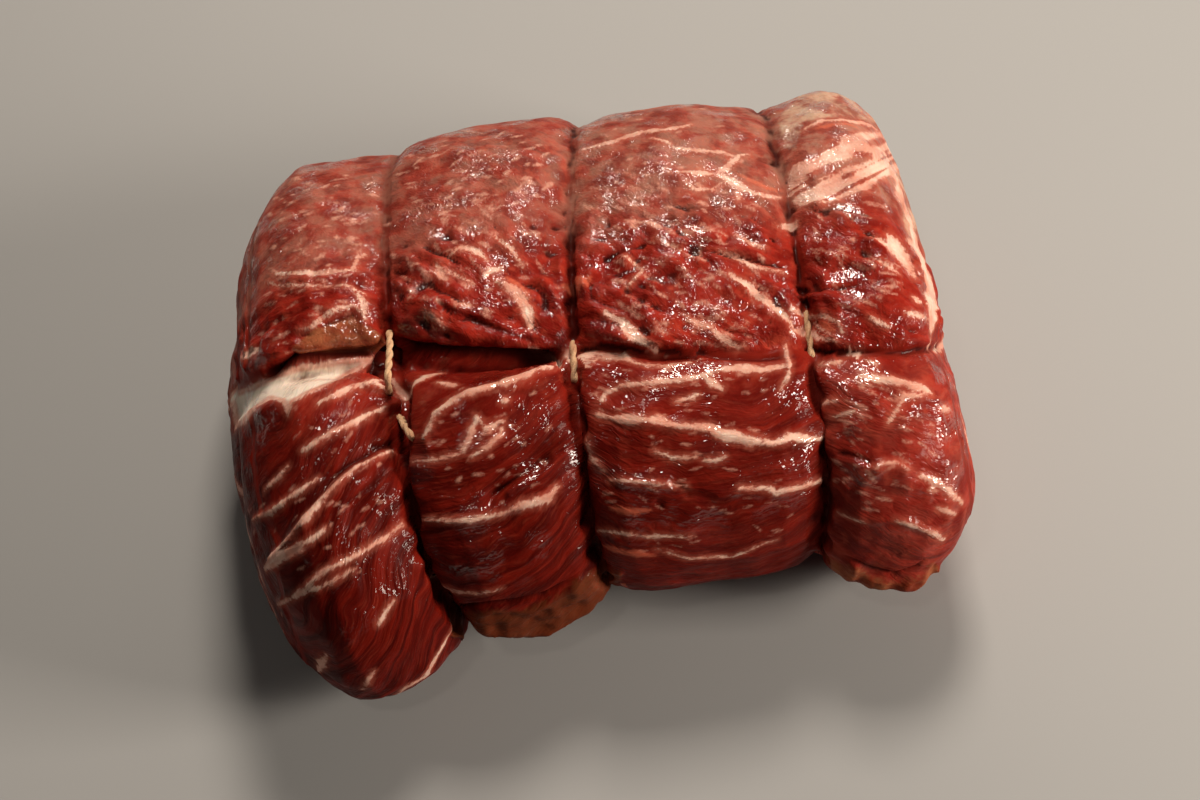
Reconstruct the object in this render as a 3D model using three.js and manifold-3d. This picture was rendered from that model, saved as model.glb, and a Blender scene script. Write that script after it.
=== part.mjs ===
// A beef blade roast: one piece of meat, folded along a seam and tied with three turns of twine.
// Millimetres. X runs along the roast from one cut end to the other, -Y is the side on which the
// seam lies open, +Z is up, and the roast lies on Z = 0.

import * as THREE from "three";
import { mergeVertices } from "three/addons/utils/BufferGeometryUtils.js";
import Module from "manifold-3d";

// Driving dimensions. The twine divides the roast into four lobes, left to right.
const HALF_LENGTH = 111;
const TWINE_AT = [-50, 2.7, 65.4]; // where each turn of twine crosses the middle of the roast
const TWINE_DIAMETER = 2.2;
const TWINE_CLEARANCE = 0.35;
const TWINE_SIDES = 6;
const FLOOR_GAP = 5; // the twine passes this far above the counter

// Reach of the meat to the back, to the front and upwards: where the twine holds it, at the middle
// of each lobe, and at the two ends.
const TWINE_BACK = [84, 86, 84];
const TWINE_FRONT = [68, 66, 62];
const TWINE_TOP = [79, 81, 81];
const LOBE_BACK = [86, 92, 91, 90];
const LOBE_FRONT = [95, 84, 80, 81];
const LOBE_TOP = [86, 89, 90, 89];
const END_BACK = [58, 88];
const END_FRONT = [68, 79];
const END_TOP = [76, 76];
const COVER_BACK = 1.2; // how far the meat stands over the twine's inner side, close to the twine
const COVER_FRONT = 3.2;

// Profile of a lobe between two turns: it is full at its middle and falls to the twine at a
// shoulder, which is steeper where the exponent is smaller.
const LOBE_FULLNESS = 2.3;
const LOBE_SHOULDER = 0.6;
const LOBE_SHOULDER_FRONT = 0.4;
const END_SWEEP = 1.4; // exponent of the sweep from the outer lobes' middles to the ends
const LOBE_HANG = 9; // how much lower a lobe's underside would hang than the twine's, were it free

// How far the foot of each lobe spreads to the front, and the share of it that is left at the twine.
const LOBE_FOOT = [8, -4, -6, 4];
const FOOT_AT_TWINE = 0.6;
const FOOT_HEIGHT = 80;
const FOOT_CURVE = 1.5;

// Exponents of the section's superellipse: 2 is round, more is squarer.
const SHOULDER_BACK = 2.5;
const SHOULDER_FRONT = 2.3;
const HAUNCH = 3;
const WAIST_HEIGHT = 40; // height of the section's widest place

// Lean along X of the left end, the three turns and the right end, for each mm of Y and of Z.
const SKEW = [0, 0.04, 0.13, 0.05, 0.03];
const RAKE = [0.01, -0.27, -0.19, -0.03, 0.02];

// The seam where the two folds of meat meet: at the left end, the four lobes and the right end.
const SEAM_ANGLE = [97, 94, 103, 111, 114, 114]; // degrees round the section, from the back
const SEAM_DEPTH = [3, 12, 13, 4.5, 5, 4];
const SEAM_WIDTH = [8, 9, 8, 5, 5, 5];
const SEAM_OVERHANG = [1, 5, 4, 1, 1.5, 0.5]; // how far the upper fold hangs over it
const SEAM_SHARPNESS = 1.4; // exponent of its slopes
const SEAM_LIP = 0.9; // where the overhang is greatest, and its reach, in widths of the seam
const SEAM_REACH = 35; // it is gone this far under the surface
const SEAM_FADE = 20;
const END_SEAM_DEPTH = 4; // the seam runs on over the cut ends towards their middle
const END_SEAM_WIDTH = 6;
const END_SEAM_START = 12;
const END_SEAM_RAMP = 24;

// Folds and flaps: each rises along a path of [station, angle in degrees] and falls away over some
// millimetres on its back side (towards the back of the roast) and on its front side.
const FOLDS = {
  fatSlab: { path: [[-100, 105], [-87, 104], [-61, 100]], rise: 2.6, back: 9, front: 2.6 },
  liftedFlap: { path: [[-82, 92], [-77, 90], [-60, 88], [-55, 91]], rise: 3, back: 10, front: 2.6 },
  rolledEdge: { path: [[-99, 95], [-85, 91]], rise: 2.5, back: 5, front: 5 },
  strip: { path: [[-105, 149], [-86, 130], [-68, 121], [-54, 123]], rise: 2.6, back: 2.6, front: 9 },
  ridge: { path: [[-41, 120], [-36, 115], [-25, 111], [-8, 110], [0, 108]], rise: 3.5, back: 2.8, front: 10 },
  cutUnderRidge: { path: [[-23, 135], [-4, 129]], rise: -3, back: 3, front: 3 },
  leftSkirt: { path: [[-44, 186], [-33, 192], [-15, 197], [-2, 198]], rise: 3, back: 3.5, front: 3.5 },
  seamRim: { path: [[6, 110], [17, 109], [24, 112], [36, 113], [58, 113]], rise: 2, back: 2.6, front: 12 },
  longFatStep: { path: [[10, 122], [24, 124], [43, 132], [61, 140]], rise: 1.8, back: 2.6, front: 12 },
  bowl: { path: [[74, 147], [78, 143], [86, 142], [88, 147]], rise: 2, back: 2.6, front: 6 },
  knobOfFat: { path: [[68, 181], [72, 183]], rise: 4, back: 5, front: 5 },
  rightSkirt: { path: [[72, 192], [83, 193], [98, 197]], rise: 3, back: 3.5, front: 3.5 },
  bumpByTwine: { path: [[7, 90], [9, 97]], rise: 2.5, back: 6, front: 6 },
  farHump: { path: [[69, 72], [88, 67], [103, 73]], rise: 1.6, back: 8, front: 8 },
};

// Unevenness of the whole surface: long and short waves, with their lengths along and round it.
const SWAY = 0.9;
const LONG_WAVE = [11, 23];
const SHORT_WAVE = [5.5, 9];

// The left turn is tied over the seam: a knot and the short tail that was left on it.
const KNOT_ANGLE = 114;
const KNOT_RADIUS = 2.3;
const KNOT_STRETCH = 1.15;
const KNOT_FLATNESS = 0.8;
const KNOT_LIFT = 3.5;
const TAIL = [[-47.6, 117], [-45.8, 120], [-44.2, 123]]; // station and angle
const TAIL_GAP = 1.5;
const POCKET = { path: [[-50, 110], [-50, 117]], rise: -5, back: 5, front: 5 };

// Angles in degrees between which each turn of twine lies bare on the top of the roast, those up to
// which it lies bare at the back, and those from which it lies bare below.
const BARE = [[98, 121], [108, 118], [108, 120]];
const BARE_RAMP = 9; // the meat closes over it in so many degrees
const BARE_BACK = 35;
const BARE_BACK_RAMP = 20;
const BARE_BELOW = 195;
const BARE_BELOW_RAMP = 25;

// The cut ends: a round edge, squarer with a smaller exponent, and a slightly domed face.
const END_ROUND = 24;
const END_CORNER = 0.85;
const END_DOME = 5;
const END_SWELL = { angle: 172, span: 30, rise: 2.6 }; // the right end's upper front corner

// The twine's channel: play beside the twine, and its mouth, which is shut where the twine is buried.
const CHANNEL_PLAY = 0.15;
const MOUTH_SHUT = 0.15;
const MOUTH_FLARE = 0.3;
const WALL_HEIGHT = 0.3; // above the buried twine
const WALL_HEIGHT_BARE = 0.6; // above the bare twine's inner side
const FLOOR_NARROWING = 0.1;
const LIP_SHIFT = 0.4; // share of the seam's overhang that the channel's lips take
const CHANNEL_LOWEST = 0.5;

// Mesh density
const COLUMNS = 70;
const SECTION_STEPS = 240;
const UNDERSIDE_DENSITY = 0.45;
const SEAM_DENSITY = 1.6;
const SEAM_DENSE_SPAN = 0.16;
const CREST = [-0.94, -0.82, -0.62, -0.38, -0.12, 0.12, 0.38, 0.62, 0.82, 0.94];
const END_TURN = [0, 0.12, 0.28, 0.46, 0.64, 0.82, 1];
const END_FACE = [0.8, 0.58, 0.36, 0.15];
const END_SPARE = 2; // no crest row comes closer than this to the first row of an end
const CHANNEL_ROWS = 6;

const TWINE_RADIUS = TWINE_DIAMETER / 2;
const CHANNEL_HALF = TWINE_RADIUS + TWINE_CLEARANCE + CHANNEL_PLAY;
const DEG = Math.PI / 180;

const clamp = (x, low, high) => Math.min(high, Math.max(low, x));
const mix = (a, b, t) => a + (b - a) * t;
const bell = (x) => Math.exp(-x * x);
const power = (x, p) => Math.sign(x) * Math.abs(x) ** p;
const smooth = (t) => {
  const s = clamp(t, 0, 1);
  return s * s * (3 - 2 * s);
};

// Reads values that belong to given places along the roast, with smooth steps between them.
function along(places, values, at) {
  if (at <= places[0]) return values[0];
  for (let i = 1; i < places.length; i += 1) {
    if (at <= places[i]) {
      const t = (at - places[i - 1]) / (places[i] - places[i - 1]);
      return mix(values[i - 1], values[i], smooth(t));
    }
  }
  return values[values.length - 1];
}

const edges = () => [-HALF_LENGTH, ...TWINE_AT, HALF_LENGTH];
const middles = () => [0, 1, 2, 3].map((i) => (edges()[i] + edges()[i + 1]) / 2);
const seamPlaces = () => [-HALF_LENGTH, ...middles(), HALF_LENGTH];

// Which lobe station u is in, and how much of its swelling shows: none at the twine.
function lobeAt(u, shoulder = LOBE_SHOULDER) {
  const index = TWINE_AT.filter((x) => u > x).length;
  const low = edges()[index];
  const high = edges()[index + 1];
  const t = (2 * (u - low)) / (high - low) - 1;
  const outer = (index === 0 && t < 0) || (index === 3 && t > 0);
  const share = outer ? 1 : Math.max(0, 1 - Math.abs(t) ** LOBE_FULLNESS) ** shoulder;
  return { index, t, share, outer };
}

// Reach of the section at station u, from the values at the twine, the lobes and the ends.
function reach(u, twine, lobes, ends, cover, shoulder) {
  const { index, t, share, outer } = lobeAt(u, shoulder);
  if (outer) return mix(lobes[index], ends[index === 0 ? 0 : 1], Math.abs(t) ** END_SWEEP);
  const low = twine[Math.max(index - 1, 0)] + cover;
  const high = twine[Math.min(index, 2)] + cover;
  return mix(low, high, (t + 1) / 2) + (lobes[index] - (low + high) / 2) * share;
}

// The section at station u: of the meat's surface, or of the curve in which the twine runs.
function section(u, held = false) {
  const back = reach(u, TWINE_BACK, LOBE_BACK, END_BACK, held ? 0 : COVER_BACK);
  const front = reach(u, TWINE_FRONT, LOBE_FRONT, END_FRONT, held ? 0 : COVER_FRONT, LOBE_SHOULDER_FRONT);
  const top = reach(u, TWINE_TOP, LOBE_TOP, END_TOP, held ? 0 : COVER_FRONT);
  const { share } = lobeAt(u);
  return {
    y: (back - front) / 2,
    halfDepth: (back + front) / 2,
    up: top - WAIST_HEIGHT,
    down: WAIST_HEIGHT - FLOOR_GAP + LOBE_HANG * share,
    foot: along(middles(), LOBE_FOOT, u) * mix(FOOT_AT_TWINE, 1, share),
  };
}

// A point on the section at angle a, inset by a distance, with the outward normal there.
function sectionPoint(u, a, held = false, inset = 0) {
  const s = section(u, held);
  const c = Math.cos(a);
  const d = Math.sin(a);
  const n = d < 0 ? HAUNCH : c > 0 ? SHOULDER_BACK : SHOULDER_FRONT;
  const b = s.halfDepth - inset;
  const h = (d > 0 ? s.up : s.down) - inset;
  const normal = new THREE.Vector2(power(c, 2 - 2 / n) / b, power(d, 2 - 2 / n) / h).normalize();
  const spread = s.y + b * power(c, 2 / n);
  const z = WAIST_HEIGHT + h * power(d, 2 / n);
  const low = clamp(1 - z / FOOT_HEIGHT, 0, 1) ** FOOT_CURVE;
  const y = spread - s.foot * low * smooth(0.5 - (spread - s.y) / s.halfDepth / 2);
  return { y, z, normal };
}

// Each turn of twine leans, and the meat between two turns leans with them.
function lean(u, y, z) {
  const skew = along(edges(), SKEW, u);
  const rake = along(edges(), RAKE, u);
  return skew * y + rake * (z - WAIST_HEIGHT);
}

const seamAngle = (u) => along(seamPlaces(), SEAM_ANGLE, u) * DEG;

// The seam sinks the surface and draws its upper side over it.
function seamAt(u, y, z) {
  const at = sectionPoint(u, seamAngle(u));
  const tangent = new THREE.Vector2(at.normal.y, -at.normal.x); // towards the back, over the top
  const offset = (y - at.y) * tangent.x + (z - at.z) * tangent.y;
  const depth = along(seamPlaces(), SEAM_DEPTH, u);
  const width = along(seamPlaces(), SEAM_WIDTH, u);
  const overhang = along(seamPlaces(), SEAM_OVERHANG, u);
  const below = (at.y - y) * at.normal.x + (at.z - z) * at.normal.y;
  const upper = smooth((SEAM_REACH - below) / SEAM_FADE);
  const near = upper * Math.exp(-((Math.abs(offset) / width) ** SEAM_SHARPNESS));
  const lip = offset > 0 ? upper * bell(offset / (width * SEAM_LIP) - 1) : 0;
  return { sink: depth * near, shift: overhang * lip, tangent };
}

// A point of the section in space, with its outward normal.
function skinPoint(u, a, held = false) {
  const { y, z, normal } = sectionPoint(u, a, held);
  return {
    point: new THREE.Vector3(u + lean(u, y, z), y, z),
    normal: new THREE.Vector3(0, normal.x, normal.y),
  };
}

const foldLines = [...Object.values(FOLDS), POCKET].map((fold) => {
  const places = fold.path.map(([u, degrees]) => skinPoint(u, degrees * DEG));
  const lines = places.slice(1).map((place, i) => ({
    line: new THREE.Line3(places[i].point, place.point),
    normal: place.normal,
  }));
  return { ...fold, lines };
});

// How far the folds raise the surface at a point.
function foldRise(point) {
  const nearest = new THREE.Vector3();
  const best = new THREE.Vector3();
  return foldLines.reduce((total, { lines, rise, back, front }) => {
    let distance = Infinity;
    let side = 0;
    lines.forEach(({ line, normal }) => {
      line.closestPointToPoint(point, true, nearest);
      const away = point.distanceTo(nearest);
      if (away >= distance) return;
      distance = away;
      best.subVectors(line.end, line.start).cross(new THREE.Vector3().subVectors(point, nearest));
      side = best.dot(normal);
    });
    return total + rise * bell(distance / (side > 0 ? back : front));
  }, 0);
}

// The meat is nowhere quite even.
function sway(u, a) {
  const long = Math.sin(u / LONG_WAVE[0] + 2 * Math.sin(a + 1)) * Math.sin(3 * a + u / LONG_WAVE[1]);
  const short = Math.sin(u / SHORT_WAVE[0] - 3 * a) * Math.cos(7 * a + u / SHORT_WAVE[1]);
  return SWAY * (long + short / 2);
}

// Angles of the columns, spread evenly along the section, closer at the seam and wider below.
function columnAngles(u) {
  const steps = SECTION_STEPS;
  const seam = seamAngle(u);
  const total = [0];
  let last = sectionPoint(u, 0);
  for (let i = 1; i <= steps; i += 1) {
    const a = (i / steps) * 2 * Math.PI;
    const next = sectionPoint(u, a);
    const below = Math.sin(a) < -0.5 ? UNDERSIDE_DENSITY : 1;
    const weight = below * (1 + SEAM_DENSITY * bell((a - seam) / SEAM_DENSE_SPAN));
    total.push(total[i - 1] + Math.hypot(next.y - last.y, next.z - last.z) * weight);
    last = next;
  }
  const angles = [];
  let i = 1;
  for (let k = 0; k < COLUMNS; k += 1) {
    const want = (total[steps] * k) / COLUMNS;
    while (total[i] < want) i += 1;
    const t = (want - total[i - 1]) / (total[i] - total[i - 1]);
    angles.push(((i - 1 + t) / steps) * 2 * Math.PI);
  }
  return angles;
}

// Rows of the mesh over one end, from the body inwards over the face.
function endRows(side) {
  const turned = END_TURN.map((q) => {
    const tilt = (q * Math.PI) / 2;
    return {
      u: side * (HALF_LENGTH - END_ROUND + END_ROUND * Math.sin(tilt) ** END_CORNER),
      inset: END_ROUND * (1 - Math.cos(tilt) ** END_CORNER),
      tilt,
      rho: 1,
    };
  });
  const faced = END_FACE.map((rho) => ({ u: side * HALF_LENGTH, inset: END_ROUND, tilt: Math.PI / 2, rho }));
  const list = [...turned, ...faced];
  return side < 0 ? list.reverse() : list;
}

// Rows of the mesh along the roast, from the left end to the right.
function allRows() {
  const list = endRows(-1);
  for (let lobe = 0; lobe < 4; lobe += 1) {
    const low = edges()[lobe];
    const high = edges()[lobe + 1];
    CREST.forEach((t) => {
      const u = mix(low, high, (t + 1) / 2);
      const inBody = Math.abs(u) < HALF_LENGTH - END_ROUND - END_SPARE;
      if (inBody) list.push({ u, inset: 0, tilt: 0, rho: 1 });
    });
    if (lobe < 3) {
      for (let k = 0; k < CHANNEL_ROWS; k += 1) {
        list.push({ u: high, inset: 0, tilt: 0, rho: 1, channel: k, turn: lobe });
      }
    }
  }
  list.push(...endRows(1));
  return list;
}

// The rows of the twine's channel are a lip, a wall and a floor on either side.
function channelOffset(k, open, rise) {
  const side = k < CHANNEL_ROWS / 2 ? -1 : 1;
  const step = side < 0 ? k : CHANNEL_ROWS - 1 - k;
  const wide = smooth(2 * open);
  const low = smooth(2 * open - 1);
  const sunk = Math.min(rise, 0);
  const lip = mix(COVER_FRONT, COVER_BACK, low) + Math.max(rise, 0) + sunk * low;
  const wall = mix(TWINE_DIAMETER + WALL_HEIGHT, WALL_HEIGHT_BARE, low) + sunk * low;
  const floor = sunk - TWINE_CLEARANCE;
  const mouth = mix(MOUTH_SHUT, CHANNEL_HALF + MOUTH_FLARE, wide);
  return {
    across: side * [mouth, CHANNEL_HALF, CHANNEL_HALF - FLOOR_NARROWING][step],
    out: [lip, wall, floor][step],
  };
}

// The twine is buried on the top and the front, and bare at the back, below and over the seam.
function channelOpen(turn, a) {
  const degrees = a / DEG;
  const [from, to] = BARE[turn];
  const back = (BARE_BACK - degrees) / BARE_BACK_RAMP;
  const below = (degrees - BARE_BELOW) / BARE_BELOW_RAMP;
  const shown = 1 + Math.min(degrees - from, to - degrees) / BARE_RAMP;
  return clamp(Math.max(back, below, shown), 0, 1);
}

function meatPoint(row, a) {
  const channel = row.channel !== undefined;
  const { y, z, normal } = sectionPoint(row.u, a, channel, row.inset);
  const s = section(row.u);
  const outward = Math.cos(row.tilt);
  const seam = seamAt(row.u, y, z);
  const rise = foldRise(new THREE.Vector3(row.u + lean(row.u, y, z), y, z));
  let out = (rise - seam.sink) * outward;
  let shift = seam.shift * outward;
  let across = 0;
  let lowest = 0;
  if (channel) {
    const at = channelOffset(row.channel, channelOpen(row.turn, a), rise - seam.sink);
    const lip = row.channel === 0 || row.channel === CHANNEL_ROWS - 1;
    across = at.across;
    out = at.out;
    shift *= lip ? LIP_SHIFT : 0;
    lowest = CHANNEL_LOWEST;
  } else {
    out += sway(row.u, a) * lobeAt(row.u).share * outward;
  }
  const py = y + normal.x * out - seam.tangent.x * shift;
  const pz = z + normal.y * out - seam.tangent.y * shift;
  const ringY = mix(s.y, py, row.rho);
  const ringZ = Math.max(mix(WAIST_HEIGHT, pz, row.rho), lowest);
  const dome = END_DOME * (1 - row.rho * row.rho) - endSeam(row, ringY - s.y, ringZ - WAIST_HEIGHT);
  const bulge = Math.sign(row.u) * dome + endSwell(row, a);
  return [row.u + across + bulge + lean(row.u, ringY, ringZ), ringY, ringZ];
}

// How far the right end swells out at its upper front corner.
function endSwell(row, a) {
  if (row.u < 0) return 0;
  const near = bell((a / DEG - END_SWELL.angle) / END_SWELL.span);
  return END_SWELL.rise * Math.sin(row.tilt) * row.rho ** 3 * near;
}

// How far the seam sinks into a cut end, at a place dy, dz from the end's middle.
function endSeam(row, dy, dz) {
  const seam = sectionPoint(row.u, seamAngle(row.u));
  const way = new THREE.Vector2(seam.y - section(row.u).y, seam.z - WAIST_HEIGHT).normalize();
  const ahead = dy * way.x + dz * way.y;
  const beside = dy * way.y - dz * way.x;
  const run = smooth((ahead - END_SEAM_START) / END_SEAM_RAMP);
  return END_SEAM_DEPTH * Math.sin(row.tilt) * run * bell(beside / END_SEAM_WIDTH);
}

function meatGeometry() {
  const rows = allRows();
  const vertices = [];
  const triangles = [];
  rows.forEach((row) => {
    columnAngles(row.u).forEach((a) => vertices.push(...meatPoint(row, a)));
  });
  for (let r = 0; r < rows.length - 1; r += 1) {
    for (let i = 0; i < COLUMNS; i += 1) {
      const a = r * COLUMNS + i;
      const b = r * COLUMNS + ((i + 1) % COLUMNS);
      triangles.push(a, b, a + COLUMNS, b, b + COLUMNS, a + COLUMNS);
    }
  }
  [-1, 1].forEach((side) => {
    const first = side < 0 ? 0 : (rows.length - 1) * COLUMNS;
    const centre = vertices.length / 3;
    const u = side * HALF_LENGTH;
    const { y } = section(u);
    vertices.push(u + lean(u, y, WAIST_HEIGHT) + side * END_DOME, y, WAIST_HEIGHT);
    for (let i = 0; i < COLUMNS; i += 1) {
      const a = first + i;
      const b = first + ((i + 1) % COLUMNS);
      if (side < 0) triangles.push(centre, b, a);
      else triangles.push(centre, a, b);
    }
  });
  const geometry = new THREE.BufferGeometry();
  geometry.setAttribute("position", new THREE.Float32BufferAttribute(vertices, 3));
  geometry.setIndex(triangles);
  return geometry;
}

// One turn of twine, along the section where it holds the meat.
function turnGeometry(u) {
  const angles = columnAngles(u);
  const vertices = [];
  const triangles = [];
  angles.forEach((a) => {
    const { y, z, normal } = sectionPoint(u, a, true);
    for (let k = 0; k < TWINE_SIDES; k += 1) {
      const turn = (k / TWINE_SIDES) * 2 * Math.PI;
      const out = TWINE_RADIUS * (1 + Math.cos(turn));
      const py = y + normal.x * out;
      const pz = z + normal.y * out;
      vertices.push(u + lean(u, py, pz) + TWINE_RADIUS * Math.sin(turn), py, pz);
    }
  });
  const count = angles.length;
  for (let i = 0; i < count; i += 1) {
    for (let k = 0; k < TWINE_SIDES; k += 1) {
      const next = (k + 1) % TWINE_SIDES;
      const a = i * TWINE_SIDES + k;
      const b = i * TWINE_SIDES + next;
      const c = ((i + 1) % count) * TWINE_SIDES + k;
      const d = ((i + 1) % count) * TWINE_SIDES + next;
      triangles.push(a, c, b, b, c, d);
    }
  }
  const geometry = new THREE.BufferGeometry();
  geometry.setAttribute("position", new THREE.Float32BufferAttribute(vertices, 3));
  geometry.setIndex(triangles);
  return geometry;
}

// A place over the twine's inner side.
function lifted(u, degrees, lift) {
  const { point, normal } = skinPoint(u, degrees * DEG, true);
  return point.addScaledVector(normal, lift);
}

// A place over the meat's surface.
function overMeat(u, degrees, lift) {
  const a = degrees * DEG;
  const on = new THREE.Vector3(...meatPoint({ u, inset: 0, tilt: 0, rho: 1 }, a));
  return on.addScaledVector(skinPoint(u, a).normal, lift);
}

function knotGeometry() {
  const geometry = new THREE.SphereGeometry(KNOT_RADIUS, 10, 7);
  const at = lifted(TWINE_AT[0], KNOT_ANGLE, KNOT_LIFT);
  geometry.scale(1, KNOT_STRETCH, KNOT_FLATNESS);
  geometry.translate(at.x, at.y, at.z);
  return geometry;
}

function tailGeometry() {
  const start = lifted(TWINE_AT[0], KNOT_ANGLE, KNOT_LIFT);
  const points = [start, ...TAIL.map(([u, degrees]) => overMeat(u, degrees, TWINE_RADIUS + TAIL_GAP))];
  const outline = [];
  for (let k = 0; k < TWINE_SIDES; k += 1) {
    const turn = (k / TWINE_SIDES) * 2 * Math.PI;
    outline.push(new THREE.Vector2(TWINE_RADIUS * Math.cos(turn), TWINE_RADIUS * Math.sin(turn)));
  }
  return new THREE.ExtrudeGeometry(new THREE.Shape(outline), {
    steps: 8,
    bevelEnabled: false,
    extrudePath: new THREE.CatmullRomCurve3(points),
  });
}

// Joins closed geometries into one.
const wasm = await Module();
wasm.setup();

function solidOf(geometry) {
  const bare = new THREE.BufferGeometry();
  const flat = geometry.index ? geometry.toNonIndexed() : geometry;
  bare.setAttribute("position", flat.getAttribute("position"));
  const merged = mergeVertices(bare, 1e-4);
  return new wasm.Manifold(
    new wasm.Mesh({
      numProp: 3,
      vertProperties: merged.getAttribute("position").array,
      triVerts: new Uint32Array(merged.index.array),
    }),
  );
}

function joined(geometries) {
  const mesh = geometries.map(solidOf).reduce((all, next) => all.add(next)).getMesh();
  const geometry = new THREE.BufferGeometry();
  geometry.setAttribute("position", new THREE.BufferAttribute(mesh.vertProperties, 3));
  geometry.setIndex(new THREE.BufferAttribute(mesh.triVerts, 1));
  return geometry;
}

const roast = new THREE.Group();

function addPiece(name, geometry, material) {
  const mesh = new THREE.Mesh(geometry, material);
  mesh.name = name;
  roast.add(mesh);
}

const meatMaterial = new THREE.MeshStandardMaterial({ color: 0x7a1e14, roughness: 0.4, metalness: 0 });
const twineMaterial = new THREE.MeshStandardMaterial({ color: 0xd9b48a, roughness: 0.9, metalness: 0 });
const tied = joined([turnGeometry(TWINE_AT[0]), knotGeometry(), tailGeometry()]);

addPiece("meat", meatGeometry(), meatMaterial);
addPiece("twine_left", tied, twineMaterial);
addPiece("twine_middle", turnGeometry(TWINE_AT[1]), twineMaterial);
addPiece("twine_right", turnGeometry(TWINE_AT[2]), twineMaterial);

// The origin is at the middle of the footprint.
const middle = new THREE.Box3().setFromObject(roast).getCenter(new THREE.Vector3());
roast.children.forEach((piece) => piece.position.set(-middle.x, -middle.y, 0));

export default roast;
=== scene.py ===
"""Looks of a tied beef blade roast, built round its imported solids.

Places in the scene are in metres, and sizes on the meat in millimetres. The meat is remeshed finely and
carved in numpy: muscle fibres, folds, cuts, fat. Each fold or streak that shows is a named run of pixels
of the 1200 x 800 photograph, laid on the solid through the camera.
"""

import itertools
import math

import bmesh
import bpy
import numpy as np
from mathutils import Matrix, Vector
from mathutils.bvhtree import BVHTree


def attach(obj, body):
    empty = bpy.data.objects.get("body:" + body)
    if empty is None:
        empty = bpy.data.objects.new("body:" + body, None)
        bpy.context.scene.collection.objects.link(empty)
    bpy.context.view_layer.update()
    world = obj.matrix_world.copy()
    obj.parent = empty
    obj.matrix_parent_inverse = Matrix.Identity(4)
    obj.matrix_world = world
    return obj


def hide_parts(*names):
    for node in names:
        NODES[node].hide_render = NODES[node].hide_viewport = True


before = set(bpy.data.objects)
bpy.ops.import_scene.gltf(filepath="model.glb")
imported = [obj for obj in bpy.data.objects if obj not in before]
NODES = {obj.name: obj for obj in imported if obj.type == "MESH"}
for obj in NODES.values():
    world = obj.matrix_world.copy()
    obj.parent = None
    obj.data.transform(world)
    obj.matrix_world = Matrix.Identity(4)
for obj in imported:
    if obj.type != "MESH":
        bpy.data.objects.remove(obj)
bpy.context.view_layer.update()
MM = 0.001

# Camera, placed as for the photograph.
PHOTO_SIZE = (1200, 800)
AZIMUTH = math.radians(-8)
ELEVATION = math.radians(58)
DISTANCE = 0.527
TARGET = np.array([0.00095, -0.0132, 0.045])
LENS_MM = 50
SENSOR_MM = 36
FOCAL_PX = PHOTO_SIZE[0] * LENS_MM / SENSOR_MM
BACKWARD = np.array([
    math.sin(AZIMUTH) * math.cos(ELEVATION),
    -math.cos(AZIMUTH) * math.cos(ELEVATION),
    math.sin(ELEVATION),
])
RIGHT = np.array([math.cos(AZIMUTH), math.sin(AZIMUTH), 0.0])
UPWARD = np.cross(BACKWARD, RIGHT)
EYE = TARGET + BACKWARD * DISTANCE

# Lights: place in metres, size in metres, power in watts.
LIGHTS = {
    "key": ((0.12, 0.54, 0.88), 0.25, 8.4),
    "catch": ((-0.3, -0.3, 1.12), 0.09, 0.6),
    "rim": ((0.3, 1.3, 0.55), 0.7, 2),
    "side": ((0.95, -0.3, 0.44), 0.35, 11.5),
}
WARM_LIGHT = (1.0, 0.9, 0.78)

# Fineness of the meat's mesh, and of the drawn lines laid on it.
VOXEL_MM = 0.85
SMOOTH_ROUNDS = 6
SMOOTH_STEPS = (0.5, -0.52)  # a step in and a step out, which keep the volume
LINE_STEP_PX = 4
AXIS_HEIGHT_MM = 40  # the roast's long axis runs along X at this height
TWINE_RADIUS_MM = 1.1
CHANNEL_FILL_MM = 0.55  # closes the twine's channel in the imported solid
RAY_START = 0.2  # level rays set out this far from the middle
LATTICE = 64  # the noise repeats after this many humps
SEED = 11


def smooth(low, high, value):
    """0 below low, 1 above high, with a soft change between."""
    t = np.clip((value - low) / (high - low), 0, 1)
    return t * t * (3 - 2 * t)


def window(value, rise, fall):
    """1 between two soft edges, each given as where it is 0 and where it is 1."""
    return smooth(*rise, value) * smooth(*fall, value)


def unit(vectors):
    """The vectors with length 1."""
    return vectors / np.maximum(np.linalg.norm(vectors, axis=-1, keepdims=True), 1e-9)


def path_length(line):
    """Distance along a line at each of its points."""
    return np.concatenate([[0], np.cumsum(np.linalg.norm(np.diff(line, axis=0), axis=1))])


def evenly(line, count, endpoint=True):
    """The line with points an even way apart."""
    length = path_length(line)
    at = np.linspace(0, length[-1], count, endpoint=endpoint)
    return np.stack([np.interp(at, length, column) for column in line.T], axis=1)


def slanting(middle, tilt, half):
    """Both ends of a line, from its middle, its slant and its half length."""
    reach = np.array([math.cos(tilt), math.sin(tilt)]) * half
    return np.array([middle - reach, middle + reach])


def places(text):
    """Points written as x,y pairs with spaces between them."""
    return np.array([pair.split(",") for pair in text.split()], float)


def lattice_noise(points, cell, seed):
    """Smooth noise from -1 to 1 at each point, with humps of the size cell along each axis."""
    table = np.random.default_rng(SEED + seed).uniform(-1, 1, (LATTICE,) * 3)
    scaled = points / np.asarray(cell, float)
    low = np.floor(scaled).astype(int)
    part = scaled - low
    part = part * part * (3 - 2 * part)
    total = np.zeros(len(points))
    for corner in itertools.product((0, 1), repeat=3):
        index = (low + corner) % LATTICE
        weight = np.prod(np.where(corner, part, 1 - part), axis=1)
        total += weight * table[index[:, 0], index[:, 1], index[:, 2]]
    return total


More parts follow.
